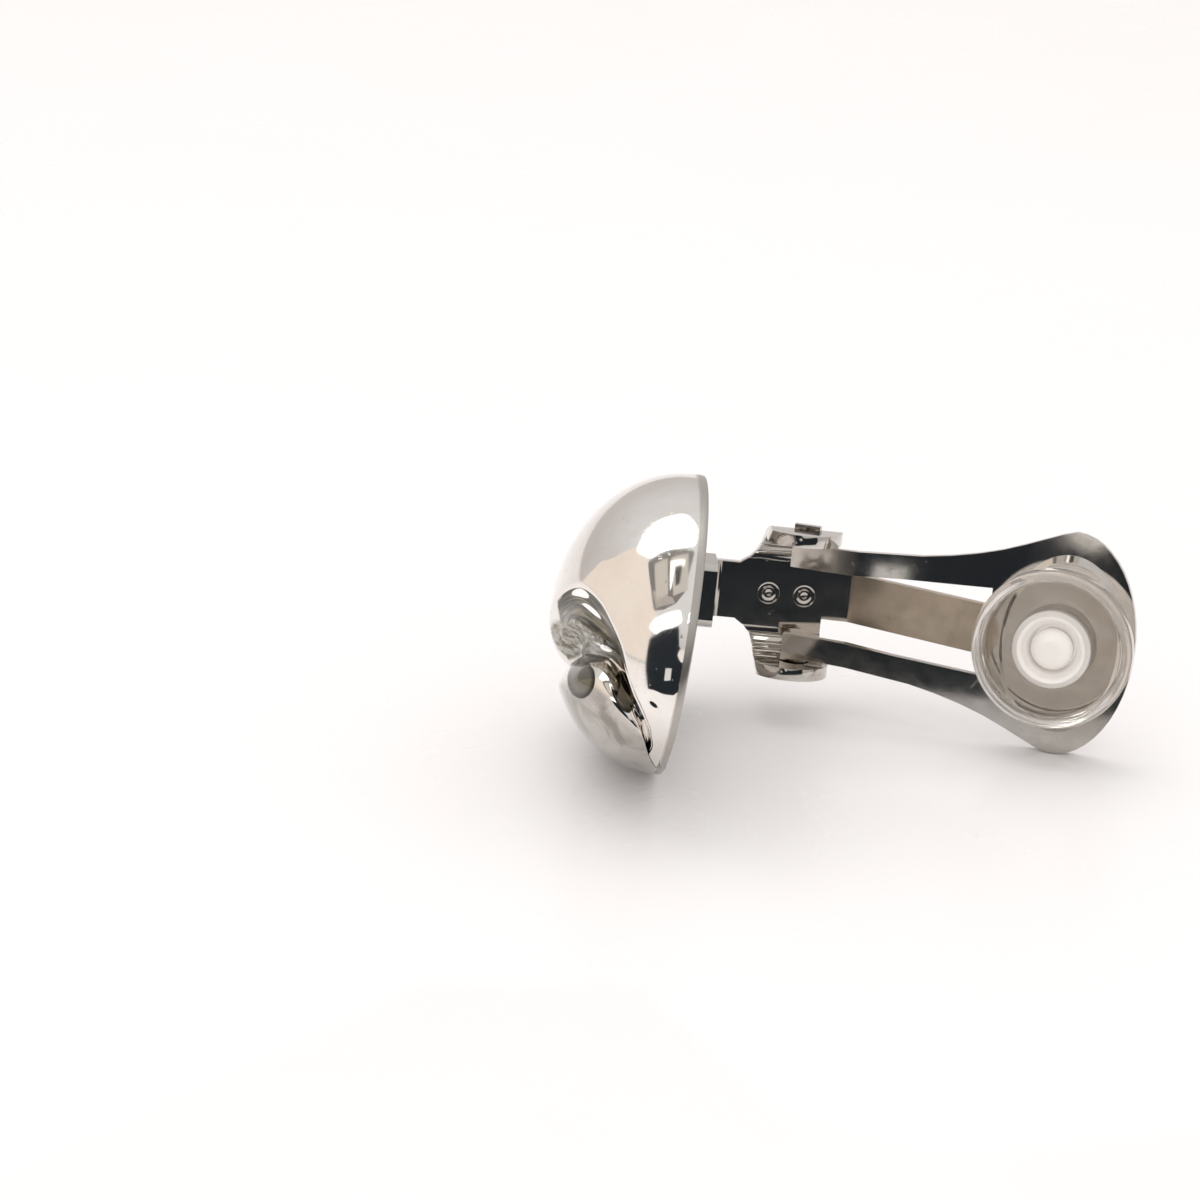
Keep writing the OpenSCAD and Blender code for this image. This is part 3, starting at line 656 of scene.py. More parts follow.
def rest_on_floor(bm, node):
    """Wears the points that would reach below the floor or past the solid's box flat."""
    low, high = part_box(node)
    for vert in bm.verts:
        vert.co = Vector(max(a, min(b, c)) for a, b, c in zip(low, high, vert.co))


def worn_sheet(bm, edge_width, angle=28):
    """Joins a sheet piece's flat triangles and gives its edges a worn round."""
    bmesh.ops.dissolve_limit(
        bm, angle_limit=NEARLY_FLAT, verts=bm.verts, edges=bm.edges, use_dissolve_boundaries=False
    )
    bm.normal_update()
    corners = [
        e for e in bm.edges
        if len(e.link_faces) == 2 and e.calc_face_angle(0) > math.radians(angle)
    ]
    edge = bm.faces.layers.float.new("edge")
    bevelled = round_off(bm, corners, edge_width, 2, clamp_overlap=True, loop_slide=True)
    for face in bevelled["faces"]:
        face[edge] = 1
    # Large faces stay flat, and small ones level with them too, so that the round ones beside
    # them don't bend their shading
    large = {face for face in bm.faces if face.calc_area() >= FLAT_FACE}
    for face in bm.faces:
        beside = {other for e in face.edges for other in e.link_faces} & large
        face.smooth = all(other.normal.angle(face.normal, 1) > LEVEL for other in beside)
    long_faces = [f for f in bm.faces if len(f.verts) > 4]
    bmesh.ops.triangulate(bm, faces=long_faces, quad_method="BEAUTY", ngon_method="BEAUTY")


class Graph:
    """Places shader nodes in a tree and joins them."""

    def __init__(self, tree):
        self.tree = tree

    def node(self, kind, *values, named=None, **settings):
        made = self.tree.nodes.new(kind)
        for key, value in settings.items():
            setattr(made, key, value)
        sockets = dict(enumerate(values))
        sockets.update(named or {})
        for key, value in sockets.items():
            if value is None:
                continue
            if isinstance(value, bpy.types.NodeSocket):
                self.tree.links.new(value, made.inputs[key])
            else:
                made.inputs[key].default_value = value
        return made

    def maths(self, operation, *values, clamp=False):
        made = self.node("ShaderNodeMath", *values, operation=operation, use_clamp=clamp)
        return made.outputs[0]

    def times(self, first, second):
        return self.maths("MULTIPLY", first, second)

    def sum(self, total, *rows):
        """Adds to a total each row's value, times the row's number."""
        for value, share_of in rows:
            total = self.maths("MULTIPLY_ADD", value, share_of, total)
        return total

    def noise(self, vector, scale, detail=3, roughness=0.5, distortion=0):
        named = {"Vector": vector, "Scale": scale, "Detail": detail, "Roughness": roughness}
        named["Distortion"] = distortion
        return self.node("ShaderNodeTexNoise", named=named).outputs["Fac"]

    def band(self, value, low, high, out_low=0, out_high=1):
        named = {"Value": value, "From Min": low, "From Max": high}
        named.update({"To Min": out_low, "To Max": out_high})
        made = self.node(
            "ShaderNodeMapRange", named=named, interpolation_type="SMOOTHSTEP", clamp=True
        )
        return made.outputs["Result"]

    def mix(self, share_of, first, second, blend="MIX"):
        made = self.node("ShaderNodeMix", data_type="RGBA", blend_type=blend)
        # The mix node's colour sockets are its seventh and eighth, and its third output
        for number, value in ((0, share_of), (6, first), (7, second)):
            socket = made.inputs[number]
            if isinstance(value, bpy.types.NodeSocket):
                self.tree.links.new(value, socket)
            elif isinstance(value, (int, float)):
                socket.default_value = value
            else:
                socket.default_value = (*value, 1)
        return made.outputs[2]

    def attribute(self, name):
        return self.node("ShaderNodeAttribute", attribute_name=name).outputs["Fac"]

    def place(self):
        return self.node("ShaderNodeTexCoord").outputs["Object"]

    def drawn_out(self, vector, turned, drawn):
        named = {"Vector": vector, "Rotation": turned, "Scale": drawn}
        return self.node("ShaderNodeMapping", named=named).outputs[0]


def worn_metal_group():
    """Pits, fine scratches and clouding that every metal piece shares."""
    found = bpy.data.node_groups.get("worn_metal")
    if found:
        return found
    group = bpy.data.node_groups.new("worn_metal", "ShaderNodeTree")
    face = group.interface
    face.new_socket("Vector", in_out="INPUT", socket_type="NodeSocketVector")
    for name, value in (("Pits", 0.5), ("Scratches", 0.5), ("Seed", 0.0)):
        face.new_socket(name, in_out="INPUT", socket_type="NodeSocketFloat").default_value = value
    for name in ("Pit mask", "Scratch mask", "Clouding", "Height"):
        face.new_socket(name, in_out="OUTPUT", socket_type="NodeSocketFloat")
    graph = Graph(group)
    start = graph.node("NodeGroupInput")
    end = graph.node("NodeGroupOutput")
    moved = graph.node("ShaderNodeVectorMath", start.outputs["Vector"], operation="ADD")
    group.links.new(start.outputs["Seed"], moved.inputs[1])
    here = moved.outputs[0]
    # Pits sit in loose groups, with uneven outlines
    groups = graph.band(graph.noise(here, 420.0, 3), 0.52, 0.70)
    pit = graph.times(graph.band(graph.noise(here, 3400.0, 2, 0.6), 0.66, 0.74), groups)
    pit = graph.times(pit, start.outputs["Pits"])
    # Scratches are thin bands of a noise drawn out along two directions
    lines = []
    for turned, drawn in ((0.5, (1.0, 0.07, 0.10)), (2.1, (0.09, 1.0, 0.07))):
        along = graph.drawn_out(here, (0.3, turned, turned), drawn)
        lines.append(graph.band(graph.noise(along, 4200.0, 1, 0.5, 0.5), 0.70, 0.76))
    scratch = graph.maths("MAXIMUM", *lines)
    scratch = graph.times(scratch, graph.band(graph.noise(here, 300.0, 2), 0.50, 0.66))
    scratch = graph.times(scratch, start.outputs["Scratches"])
    cloud = graph.band(graph.noise(here, 330.0, 5, 0.62, 0.4), 0.35, 0.7)
    height = graph.sum(graph.times(pit, -1.0), (scratch, -0.15))
    for name, value in (("Pit mask", pit), ("Scratch mask", scratch), ("Clouding", cloud),
                        ("Height", height)):
        group.links.new(value, end.inputs[name])
    return group


def principled(graph, **values):
    """A principled shader with the given plain values."""
    named = {name.replace("_", " "): value for name, value in values.items()}
    return graph.node("ShaderNodeBsdfPrincipled", named=named)


def new_material(name, **values):
    """A material with an empty tree, its graph and its shader."""
    material = bpy.data.materials.new(name)
    material.use_nodes = True
    material.node_tree.nodes.clear()
    graph = Graph(material.node_tree)
    shader = principled(graph, **values)
    graph.node("ShaderNodeOutputMaterial", shader.outputs[0])
    return material, graph, shader


def join(graph, shader, **sockets):
    """Joins values to the shader's sockets by name."""
    for name, value in sockets.items():
        graph.tree.links.new(value, shader.inputs[name.replace("_", " ")])


def raised(graph, height, distance, under=None):
    """A normal from a height in the material, over another normal where one is given."""
    named = {"Height": height, "Distance": distance, "Normal": under}
    return graph.node("ShaderNodeBump", named=named).outputs[0]


def worn(graph, pits, scratches, seed):
    """The shared wear, placed in a material with its own values."""
    named = {"Vector": graph.place(), "Pits": pits, "Scratches": scratches, "Seed": seed}
    return graph.node("ShaderNodeGroup", node_tree=worn_metal_group(), named=named).outputs


def outlined(graph, value, ragged, at=0.5, soft=0.05):
    """A mark with a crisp, slightly uneven outline."""
    moved = graph.sum(value, (ragged, RAGGED))
    middle = at + RAGGED / 2
    return graph.band(moved, middle - soft, middle + soft)


def front_metal():
    """Polished cast metal, with olive tarnish, a rough patch where it was hard to polish, painted
    highlights, and painted shade on the small lobe and the rim band.
    """
    finish = settings().finish
    material, graph, shader = new_material("front_metal", Metallic=1.0)
    wear = worn(graph, 0.6, 0.35, 0.0)
    place = graph.place()
    ragged = graph.noise(place, 650.0, 2, 0.5)
    # Streaks run along the valley, so they are drawn in the swirl's own places
    swirl = graph.node(
        "ShaderNodeCombineXYZ", graph.attribute("along"), graph.attribute("across"), 0.0
    ).outputs[0]
    drawn = graph.drawn_out(swirl, (0.0, 0.0, 0.12), (0.45, 5.5, 1.0))
    streaks = graph.noise(drawn, 1.6, 4, 0.62, 0.6)
    olive = outlined(graph, graph.attribute("olive"), ragged)
    gleam = outlined(graph, graph.attribute("gleam"), ragged, 0.5, 0.08)
    rough = outlined(graph, graph.attribute("rough"), ragged, 0.45, 0.16)
    dull = graph.band(graph.attribute("dull"), 0.2, 0.9)
    clouds = graph.noise(place, 300.0, 5, 0.65)
    tone = graph.mix(graph.band(clouds, 0.35, 0.7, 0, 0.8), finish.silver, finish.warm)
    # Painted shade: the small lobe darkens in patches towards a darker colour.
    patches = graph.band(graph.noise(place, 380.0, 4, 0.6, 0.8), 0.32, 0.62, 1.0, 0.55)
    tone = graph.mix(graph.times(dull, patches), tone, finish.dull)
    shade = graph.mix(graph.band(streaks, 0.42, 0.66), finish.deep, finish.tarnish)
    shade = graph.mix(graph.band(streaks, 0.66, 0.72, 0, 0.8), shade, finish.warm)
    # The small lobe's dark ovals are plain, and darkest at their outline
    middle = graph.band(graph.attribute("olive"), 0.55, 0.95)
    oval = graph.mix(graph.times(middle, ragged), finish.deep, finish.oval)
    on_lobe = graph.band(graph.attribute("across"), -0.05, -0.2)
    shade = graph.mix(on_lobe, shade, oval)
    tone = graph.mix(olive, tone, shade)
    cap = graph.attribute("cap")
    capped = graph.mix(graph.band(cap, 0.62, 0.95), finish.deep, finish.oval)
    cap_shape = outlined(graph, cap, graph.times(ragged, 0.5), 0.5, 0.03)
    tone = graph.mix(cap_shape, tone, capped)
    grain = graph.band(graph.noise(place, 1500.0, 5, 0.65), 0.36, 0.62)
    tone = graph.mix(rough, tone, graph.mix(grain, finish.tarnish, finish.cast))
    # Painted highlights: near-white colour where these marks lie.
    tone = graph.mix(gleam, tone, (0.97, 0.96, 0.95))
    pits = wear["Pit mask"]
    tone = graph.mix(graph.times(pits, 0.75), tone, finish.tarnish)
    # The worn rim band: rougher from wear, and darkened partly as painted shade.
    band = graph.attribute("edge")
    tone = graph.mix(graph.times(band, 0.7), tone, finish.dull)
    gloss = graph.band(wear["Clouding"], 0, 1, 0.045, 0.10)
    gloss = graph.sum(gloss, (olive, 0.06), (rough, 0.30), (band, 0.30), (pits, 0.3))
    lines = graph.times(streaks, graph.maths("SUBTRACT", olive, on_lobe, clamp=True))
    height = graph.sum(wear["Height"], (lines, 2.2), (graph.times(grain, rough), 2.4))
    join(graph, shader, Base_Color=tone, Roughness=gloss, Normal=raised(graph, height, 0.012 * MM))
    return material


def sheet_metal(name, seed, bend):
    """Plated sheet, browned on the tongue, with worn edges and nicks brightened partly as a painted
    highlight, and a slight bend.
    """
    finish = settings().finish
    material, graph, shader = new_material(name, Metallic=1.0)
    wear = worn(graph, 0.5, 0.5, seed)
    place = graph.place()
    fine = graph.noise(place, 900.0, 5, 0.65)
    wide = graph.noise(place, 120.0, 3, 0.5, 0.3)
    tongue = graph.attribute("tongue")
    edge = graph.attribute("edge")
    tone = graph.mix(graph.band(wide, 0.3, 0.7, 0, 0.3), finish.plate, finish.brown)
    tone = graph.mix(graph.band(fine, 0.3, 0.7, 0, 0.12), tone, finish.tarnish)
    browned = graph.mix(graph.band(fine, 0.3, 0.75, 0, 0.35), finish.brown, finish.tarnish)
    tone = graph.mix(tongue, tone, browned)
    tone = graph.mix(graph.times(wear["Pit mask"], 0.6), tone, finish.tarnish)
    # Worn edges with nicks, brightened partly as a painted highlight.
    nicks = graph.band(graph.noise(place, 1300.0, 3, 0.7), 0.38, 0.56)
    tone = graph.mix(graph.times(edge, nicks), tone, finish.silver)
    gloss = graph.band(fine, 0.3, 0.7, 0.06, 0.10)
    gloss = graph.sum(gloss, (tongue, 0.16), (edge, 0.22), (wear["Scratch mask"], 0.12))
    bowed = raised(graph, graph.noise(place, 75.0, 0), bend)
    small = raised(graph, wear["Height"], 0.010 * MM, bowed)
    join(graph, shader, Base_Color=tone, Roughness=gloss, Normal=small)
    return material


def solder_metal():
    """Dull lumpy solder."""
    finish = settings().finish
    material, graph, shader = new_material("solder_metal", Metallic=1.0)
    wear = worn(graph, 0.9, 0.2, 4.0)
    place = graph.place()
    lumps = graph.noise(place, 1800.0, 5, 0.6)
    tone = graph.mix(graph.band(lumps, 0.5, 0.8), finish.solder, finish.plate)
    tone = graph.mix(wear["Pit mask"], tone, finish.tarnish)
    gloss = graph.band(lumps, 0.3, 0.7, 0.34, 0.14)
    join(graph, shader, Base_Color=tone, Roughness=gloss, Normal=raised(graph, lumps, 0.04 * MM))
    return material


def clear_vinyl():
    """Clear soft vinyl, milky in its hub and lip, with an uneven surface."""
    finish = settings().finish
    material, graph, shader = new_material("clear_vinyl", Transmission_Weight=1.0, IOR=VINYL_IOR)
    milky = principled(graph, Transmission_Weight=0.06, IOR=VINYL_IOR)
    place = graph.place()
    haze = graph.noise(place, 420.0, 4, 0.55)
    tone = graph.mix(graph.band(haze, 0.3, 0.7), finish.vinyl, [0.93 * c for c in finish.vinyl])
    gloss = graph.band(haze, 0.35, 0.7, 0.03, 0.08)
    surface = raised(graph, graph.noise(place, 420.0, 2, 0.5, 0.8), 0.02 * MM)
    join(graph, shader, Base_Color=tone, Roughness=gloss, Normal=surface)
    milk_tone = graph.mix(graph.band(haze, 0.3, 0.7), (1.0, 0.965, 0.92), (0.95, 0.905, 0.855))
    milk_gloss = graph.band(haze, 0.3, 0.7, 0.12, 0.25)
    join(graph, milky, Base_Color=milk_tone, Roughness=milk_gloss, Normal=surface)
    hazy = graph.band(haze, 0.40, 0.75)
    milk = graph.maths("MULTIPLY_ADD", hazy, 0.04, graph.attribute("milk"), clamp=True)
    both = graph.node("ShaderNodeMixShader", milk, shader.outputs[0], milky.outputs[0])
    output = next(n for n in graph.tree.nodes if n.type == "OUTPUT_MATERIAL")
    graph.tree.links.new(both.outputs[0], output.inputs[0])
    return material


def floor_surface():
    """Pale glossy surface with faint smears."""
    finish = settings().finish
    material, graph, shader = new_material("floor_surface", Specular_IOR_Level=0.3)
    place = graph.place()
    smears = graph.noise(place, 40.0, 4, 0.6, 1.0)
    tone = graph.mix(graph.band(smears, 0.3, 0.7), finish.floor, [0.985 * c for c in finish.floor])
    gloss = graph.band(smears, 0.3, 0.7, 0.22, 0.30)
    height = graph.noise(place, 90.0, 3)
    join(graph, shader, Base_Color=tone, Roughness=gloss, Normal=raised(graph, height, 0.02 * MM))
    return material


def card_surface(name, tone, strength):
    """A plain card that gives light, or takes it where it is dark."""
    return new_material(
        name, Base_Color=(0, 0, 0, 1), Specular_IOR_Level=0, Emission_Color=(*tone, 1),
        Emission_Strength=strength,
    )[0]


class EARRING_OT_front(bpy.types.Operator):
    """Makes the swirled front with its rim, its back and its hollow"""

    bl_idname = "earring.make_front"
    bl_label = "Front"

    def execute(self, context):
        front = settings().front
        bm = swirl_grid(front)
        soften_ridge(bm)
        close_back(bm, front)
        roughen_front(bm, front)
        bm.transform(front_place())
        mark_cap(bm, settings().cap)
        rest_on_floor(bm, "swirl_front")
        made = finish_mesh(bm, "swirl_shell", 50)
        dress(made, "front", "silver_front", front_metal(), "swirl_front")
        return {"FINISHED"}


class EARRING_OT_bracket(bpy.types.Operator):
    """Makes the soldered hinge bracket with its worn edges"""

    bl_idname = "earring.make_bracket"
    bl_label = "Bracket"

    # The plane that cuts the bracket off the front lies this far below the front's back
    CUT_BELOW = 0.004 * MM
    CUT_NEAR = 0.0001 * MM

    def execute(self, context):
        bm = copy_of_node("swirl_front")
        place = front_place()
        below = place @ Vector((0, 0, -self.CUT_BELOW))
        outwards = place.to_3x3() @ Vector((0, 0, 1))
        cut = bmesh.ops.bisect_plane(
            bm, geom=bm.verts[:] + bm.edges[:] + bm.faces[:], dist=self.CUT_NEAR,
            plane_co=below, plane_no=outwards, clear_outer=True,
        )
        bmesh.ops.edgeloop_fill(bm, edges=only(BMEdge, cut["geom_cut"]))
        worn_sheet(bm, settings().bracket.edge)
        made = finish_mesh(bm, "hinge_bracket", 30, flat=True)
        material = sheet_metal("bracket_metal", 1.7, 0.02 * MM)
        dress(made, "front", "silver_front", material, "swirl_front")
        return {"FINISHED"}


class EARRING_OT_solder(bpy.types.Operator):
    """Makes the lumpy solder round the bracket's foot"""

    bl_idname = "earring.make_solder"
    bl_label = "Solder"

    # Rings of the solder's collar: the share of its height, and how far each stands out in mm.
    # Then the height of its lumps in mm, the foot's round corners and the longest whole edge.
    Ring = namedtuple("Ring", "height out")
    RINGS = [
        Ring(0.0, 0.34), Ring(0.16, 0.24), Ring(0.38, 0.15), Ring(0.62, 0.11), Ring(0.82, 0.12),
        Ring(0.95, 0.06),
    ]
    LUMPS = 0.05
    CORNER = 0.7 * MM
    LONG_EDGE = 0.5 * MM

    def execute(self, context):
        bracket = settings().bracket
        bm = bmesh.new()
        bmesh.ops.create_grid(bm, x_segments=1, y_segments=1, size=0.5)
        bmesh.ops.scale(bm, vec=(bracket.foot_long, bracket.foot_wide, 1), verts=bm.verts)
        middle = -bracket.web_x - bracket.thick + bracket.foot_long / 2
        bmesh.ops.translate(bm, vec=(middle, 0, -bracket.land), verts=bm.verts)
        round_off(bm, bm.verts[:], self.CORNER, 8, "VERTICES")
        sides = [e for e in bm.edges if e.calc_length() > self.LONG_EDGE]
        bmesh.ops.subdivide_edges(bm, edges=sides, cuts=24, use_grid_fill=False)
        centre = Vector((middle, 0, 0))
        outline = [from_middle(v.co, centre) for v in bm.verts]
        edges = [e for e in bm.edges if e.is_boundary]
        for ring in reversed(self.RINGS):
            made = bmesh.ops.extrude_edge_only(bm, edges=edges)["geom"]
            edges = only(BMEdge, made)
            for vert in only(BMVert, made):
                ray = from_middle(vert.co, centre).normalized()
                lumps = self.LUMPS * noise.fractal(vert.co * SOLDER_WAVES, 1.0, 2.0, 3)
                flat = max(outline, key=lambda corner: corner.normalized().dot(ray))
                vert.co = centre + flat + flat.normalized() * (ring.out + lumps) * MM
                vert.co.z = -bracket.land * ring.height
        bmesh.ops.edgeloop_fill(bm, edges=edges)
        bmesh.ops.recalc_face_normals(bm, faces=bm.faces)
        bm.transform(bracket_place())
        made = finish_mesh(bm, "solder_collar", 60)
        dress(made, "front", "silver_front", solder_metal())
        return {"FINISHED"}


def from_middle(place, centre):
    """The way from the middle to a place, seen from above."""
    return Vector((place.x - centre.x, place.y, 0))


class EARRING_OT_paddle(bpy.types.Operator):
    """Makes the stamped clip with its arms, wide end and tongue"""

    bl_idname = "earring.make_paddle"
    bl_label = "Clip paddle"

    # The tongue's bend, root and half width, in the paddle's frame
    TONGUE_BEND = 2.3 * MM
    TONGUE_END = 11.4 * MM
    TONGUE_SIDE = 1.6 * MM

    def execute(self, context):
        bm = copy_of_node("clip_paddle")
        worn_sheet(bm, settings().bracket.edge)
        self.mark(bm)
        rest_on_floor(bm, "clip_paddle")
        made = finish_mesh(bm, "clip_paddle_sheet", 30, flat=True)
        material = sheet_metal("paddle_metal", 3.1, 0.10 * MM)
        dress(made, "clip", "silver_clip", material, "clip_paddle")
        return {"FINISHED"}

    def mark(self, bm):
        """Marks the browned tongue."""
        tongue = bm.faces.layers.float.new("tongue")
        to_paddle = paddle_place().inverted()
        for face in bm.faces:
            here = to_paddle @ face.calc_center_median()
            if self.TONGUE_BEND < here.x < self.TONGUE_END and abs(here.y) < self.TONGUE_SIDE:
                face[tongue] = 1


class EARRING_OT_pad(bpy.types.Operator):
    """Makes the clear ear pad with its stem and head"""

    bl_idname = "earring.make_pad"
    bl_label = "Ear pad"

    # Steps round the pad, the round of its outline's corners, the longest edge that is left
    # whole and the gap under the head
    TURNS = 120
    CORNER = 0.06 * MM
    LONG_EDGE = 0.3 * MM
    SEAT = 0.01 * MM
    # The face is uneven from the stem to the rim, by this share of the wobble
    UNEVEN_FROM = 0.1 * MM
    UNEVEN_TO = 0.25 * MM
    UNEVEN_SHARE = 0.6

    # The outline from the middle of the face round to the head. Each corner is measured from a
    # radius and a height of the pad, and out and up say how far it lies from them in mm.
    Corner = namedtuple("Corner", "radius out height up")
    OUTLINE = [
        Corner("middle", 0, "top", -0.1),
        Corner("middle", 0.5, "top", -0.13),
        Corner("middle", 0.85, "top", -0.25),
        Corner("middle", 1.05, "top", -0.45),
        Corner("middle", 1.15, "dish", -0.25),
        Corner("hub", -0.55, "dish", -0.25),
        Corner("hub", -0.4, "dish", 0.12),
        Corner("hub", -0.2, "dish", 0.2),
        Corner("hub", 0, "dish", 0.1),
        Corner("hub", 0.12, "dish", 0),
        Corner("lip", -0.15, "dish", 0),
        Corner("lip", 0, "top", -0.06),
        Corner("ridge", 0, "top", 0),
        Corner("rim", -0.08, "top", -0.12),
        Corner("rim", 0, "top", -0.4),
        Corner("rim", -0.05, "base", 0.5),
        Corner("rim", -0.35, "base", 0.1),
        Corner("rim", -0.6, "base", 0),
        Corner("stem", 0, "base", 0),
        Corner("stem", 0, "behind", 0),
        Corner("stem", 0.5, "behind", 0),
        Corner("stem", 0.3, "head", 0),
        Corner("middle", 0, "head", 0),
    ]

    # How milky the vinyl is, from the middle outwards: most in the hub, a little in the hub's
    # ring and the lip. Each row reaches out mm past a radius of the pad.
    Milk = namedtuple("Milk", "radius out milk")
    MILK = [
        Milk("stem", -0.05, 0.95),
        Milk("stem", 0.1, 0.30),
        Milk("hub", -0.2, 0.92),
        Milk("hub", 0.1, 0.60),
        Milk("lip", -0.1, 0.0),
        Milk("rim", 1, 0.14),
    ]

    def radii(self):
        """The radii of the pad that its corners and its milkiness are measured from."""
        pad = settings().pad
        rim = pad.wide / 2
        return {"middle": 0, "stem": pad.stem / 2, "hub": pad.hub / 2, "lip": rim - pad.lip,
                "ridge": rim - pad.lip / 2, "rim": rim}

    def heights(self):
        """The heights of the pad that its corners are measured from."""
        pad = settings().pad
        base = pad.sheet / 2 + pad.boss + pad.gap
        top = base + pad.thick
        behind = -pad.sheet / 2 - pad.gap + pad.boss - self.SEAT
        return {"base": base, "top": top, "dish": top - pad.dish, "behind": behind,
                "head": behind - pad.head}

    def profile(self):
        """The pad's outline as points, each at its radius and its height."""
        radii = self.radii()
        heights = self.heights()
        return [
            (radii[corner.radius] + corner.out * MM, 0, heights[corner.height] + corner.up * MM)
            for corner in self.OUTLINE
        ]

    def make_uneven(self, bm):
        """Marks the milky places and makes the pad's face a little uneven."""
        pad = settings().pad
        radii = self.radii()
        rows = [(radii[row.radius] + row.out * MM, row.milk) for row in self.MILK]
        inner = radii["stem"] + self.UNEVEN_FROM
        outer = radii["rim"] - self.UNEVEN_TO
        layer = float_layer(bm, "milk")
        for vert in bm.verts:
            radius = math.hypot(vert.co.x, vert.co.y)
            vert[layer] = next(milk for reach, milk in rows if radius < reach)
            if inner < radius < outer and vert.co.z > pad.sheet:
                vert.co.z += pad.wobble * ripple(vert.co) * self.UNEVEN_SHARE

    def execute(self, context):
        pad = settings().pad
        bm = bmesh.new()
        verts = [bm.verts.new(point) for point in self.profile()]
        for pair in zip(verts, verts[1:]):
            bm.edges.new(pair)
        round_off(bm, verts[1:-1], self.CORNER, 3, "VERTICES", clamp_overlap=True)
        sides = [e for e in bm.edges if e.calc_length() > self.LONG_EDGE]
        bmesh.ops.subdivide_edges(bm, edges=sides, cuts=4)
        bmesh.ops.spin(
            bm, geom=bm.verts[:] + bm.edges[:], cent=(0, 0, 0), axis=(0, 0, 1), dvec=(0, 0, 0),
            angle=2 * math.pi, steps=self.TURNS, use_merge=True, use_duplicate=False,
        )
        bmesh.ops.remove_doubles(bm, verts=bm.verts, dist=SAME_POLE)
        bmesh.ops.recalc_face_normals(bm, faces=bm.faces)
        bm.normal_update()
        self.make_uneven(bm)
        bm.transform(paddle_place() @ Matrix.Translation((pad.reach, 0, 0)))
        made = finish_mesh(bm, "ear_pad_vinyl", 40)
        dress(made, "clip", "clear_pad", clear_vinyl(), "ear_pad")
        return {"FINISHED"}


# The cards round the earring, which only reflections show. Corners are azimuth and elevation in
# degrees as seen from the earring, where azimuth 0 is towards the camera and negative ones are
# to the left. Those wholly below the horizon lie on the floor. round is the corners' radius as
# a share of the distance, and near is the distance in mm of a card that stands close by.
Card = namedtuple("Card", "name corners round tone strength near", defaults=[None])
CARD_STEP = 0.03
FLOOR_GAP = 0.4 * MM
FLOOR_STEP = 0.1 * MM
CARDS = [
    Card("card_wall", [(-132, 1), (-126, 26), (-128, 43), (-111, 56), (-76, 56), (-48, 46),
                       (-44, 1)], 0.02, (0.98, 0.875, 0.78), 0.98),
    Card("card_window", [(-124, 42), (-150, 43), (180, 46), (165, 56), (155, 71), (-150, 73),
                         (-126, 65), (-114, 56)], 0.06, (1, 0.99, 0.97), 2.6),
    Card("card_frame", [(-111, 54), (-124, 63), (-153, 73), (150, 75), (52, 85), (0, 69), (-20, 58),
                        (-39, 49), (-53, 43), (-78, 53)], 0.03, (0.30, 0.28, 0.26), 0.85),
    Card("card_sill", [(-72, 53), (-52, 46), (-22, 58), (-36, 63)], 0.01, (0.62, 0.56, 0.51), 0.85),
    Card("card_pane_left", [(-106, 60), (-118, 71), (-44, 62), (-57, 51)],
         0.01, (0.74, 0.67, 0.60), 0.9),
    Card("card_pane_right", [(-121, 74), (170, 79), (8, 70), (-31, 63)],
         0.01, (0.72, 0.66, 0.60), 0.9),
    Card("card_pane_light", [(-112, 74), (-172, 84), (-70, 88), (-84, 79), (-45, 68), (-44, 65)],
         0.0, (1, 0.97, 0.93), 1.6),
    Card("card_pane_dark", [(-93, 79), (-109, 86), (-26, 75), (-36, 71)],
         0.0, (0.10, 0.10, 0.09), 0.9),
    Card("card_bar", [(-51, 29), (-47, 38), (-33, 47), (-8, 53), (-3, 43), (-18, 37), (-39, 27)],
         0.04, (1, 0.99, 0.97), 2.6),
    Card("card_dark", [(-45, -1), (-46, 21), (-33, 32), (-8, 39), (-5, 20), (3, 14), (42, 14),
                       (42, -1), (10, -1), (-18, -1)], 0.02, (0.022, 0.026, 0.032), 1.0),
    Card("card_low", [(-45, -1.2), (-43, -14), (-25, -17), (-7, -13), (4, -12), (38, -11),
                      (42, -1.2), (18, -1.2), (-2, -1.2), (-24, -1.2)],
         0.0, (0.022, 0.026, 0.030), 1.0),
    Card("card_light_spot", [(-31.1, 3.5), (-26.3, 3.6), (-26.6, -4.2), (-31.6, -4.4)],
         0.0, (1, 0.98, 0.95), 0.8, 28.7),
    Card("card_glow_upper", [(-16, 12), (-11, 6), (-8, 7), (-6, 14), (-10, 17), (-14, 17)],
         0.006, (0.98, 0.92, 0.86), 1.0, 46),
]


def card_mesh(card, reach, order):
    """A card spread between its corners, round the earring or lying on the floor."""
    bm = bmesh.new()
    made = bmesh.ops.create_circle(bm, cap_ends=True, segments=len(card.corners), radius=1)
    middle = Vector((0, 0, settings().stage.middle))
    on_floor = not card.near and max(elevation for _, elevation in card.corners) < 0
    for vert, (azimuth, elevation) in zip(made["verts"], card.corners):
        az = math.radians(azimuth)
        el = math.radians(elevation)
        ray = Vector((math.sin(az) * math.cos(el), -math.cos(az) * math.cos(el), math.sin(el)))
        if on_floor:
            vert.co = middle + ray * (middle.z / -ray.z)
            vert.co.z = FLOOR_GAP + FLOOR_STEP * order
        else:
            vert.co = middle + ray * (card.near * MM if card.near else reach)
    if card.round:
        round_off(bm, bm.verts[:], card.round * reach, 5, "VERTICES", clamp_overlap=True)
    bmesh.ops.triangulate(bm, faces=bm.faces, quad_method="BEAUTY", ngon_method="BEAUTY")
    return bm


def only_in_reflections(made):
    """Keeps a card out of everything but reflections."""
    for ray in ("camera", "diffuse", "transmission", "shadow", "volume_scatter"):
        setattr(made, f"visible_{ray}", False)


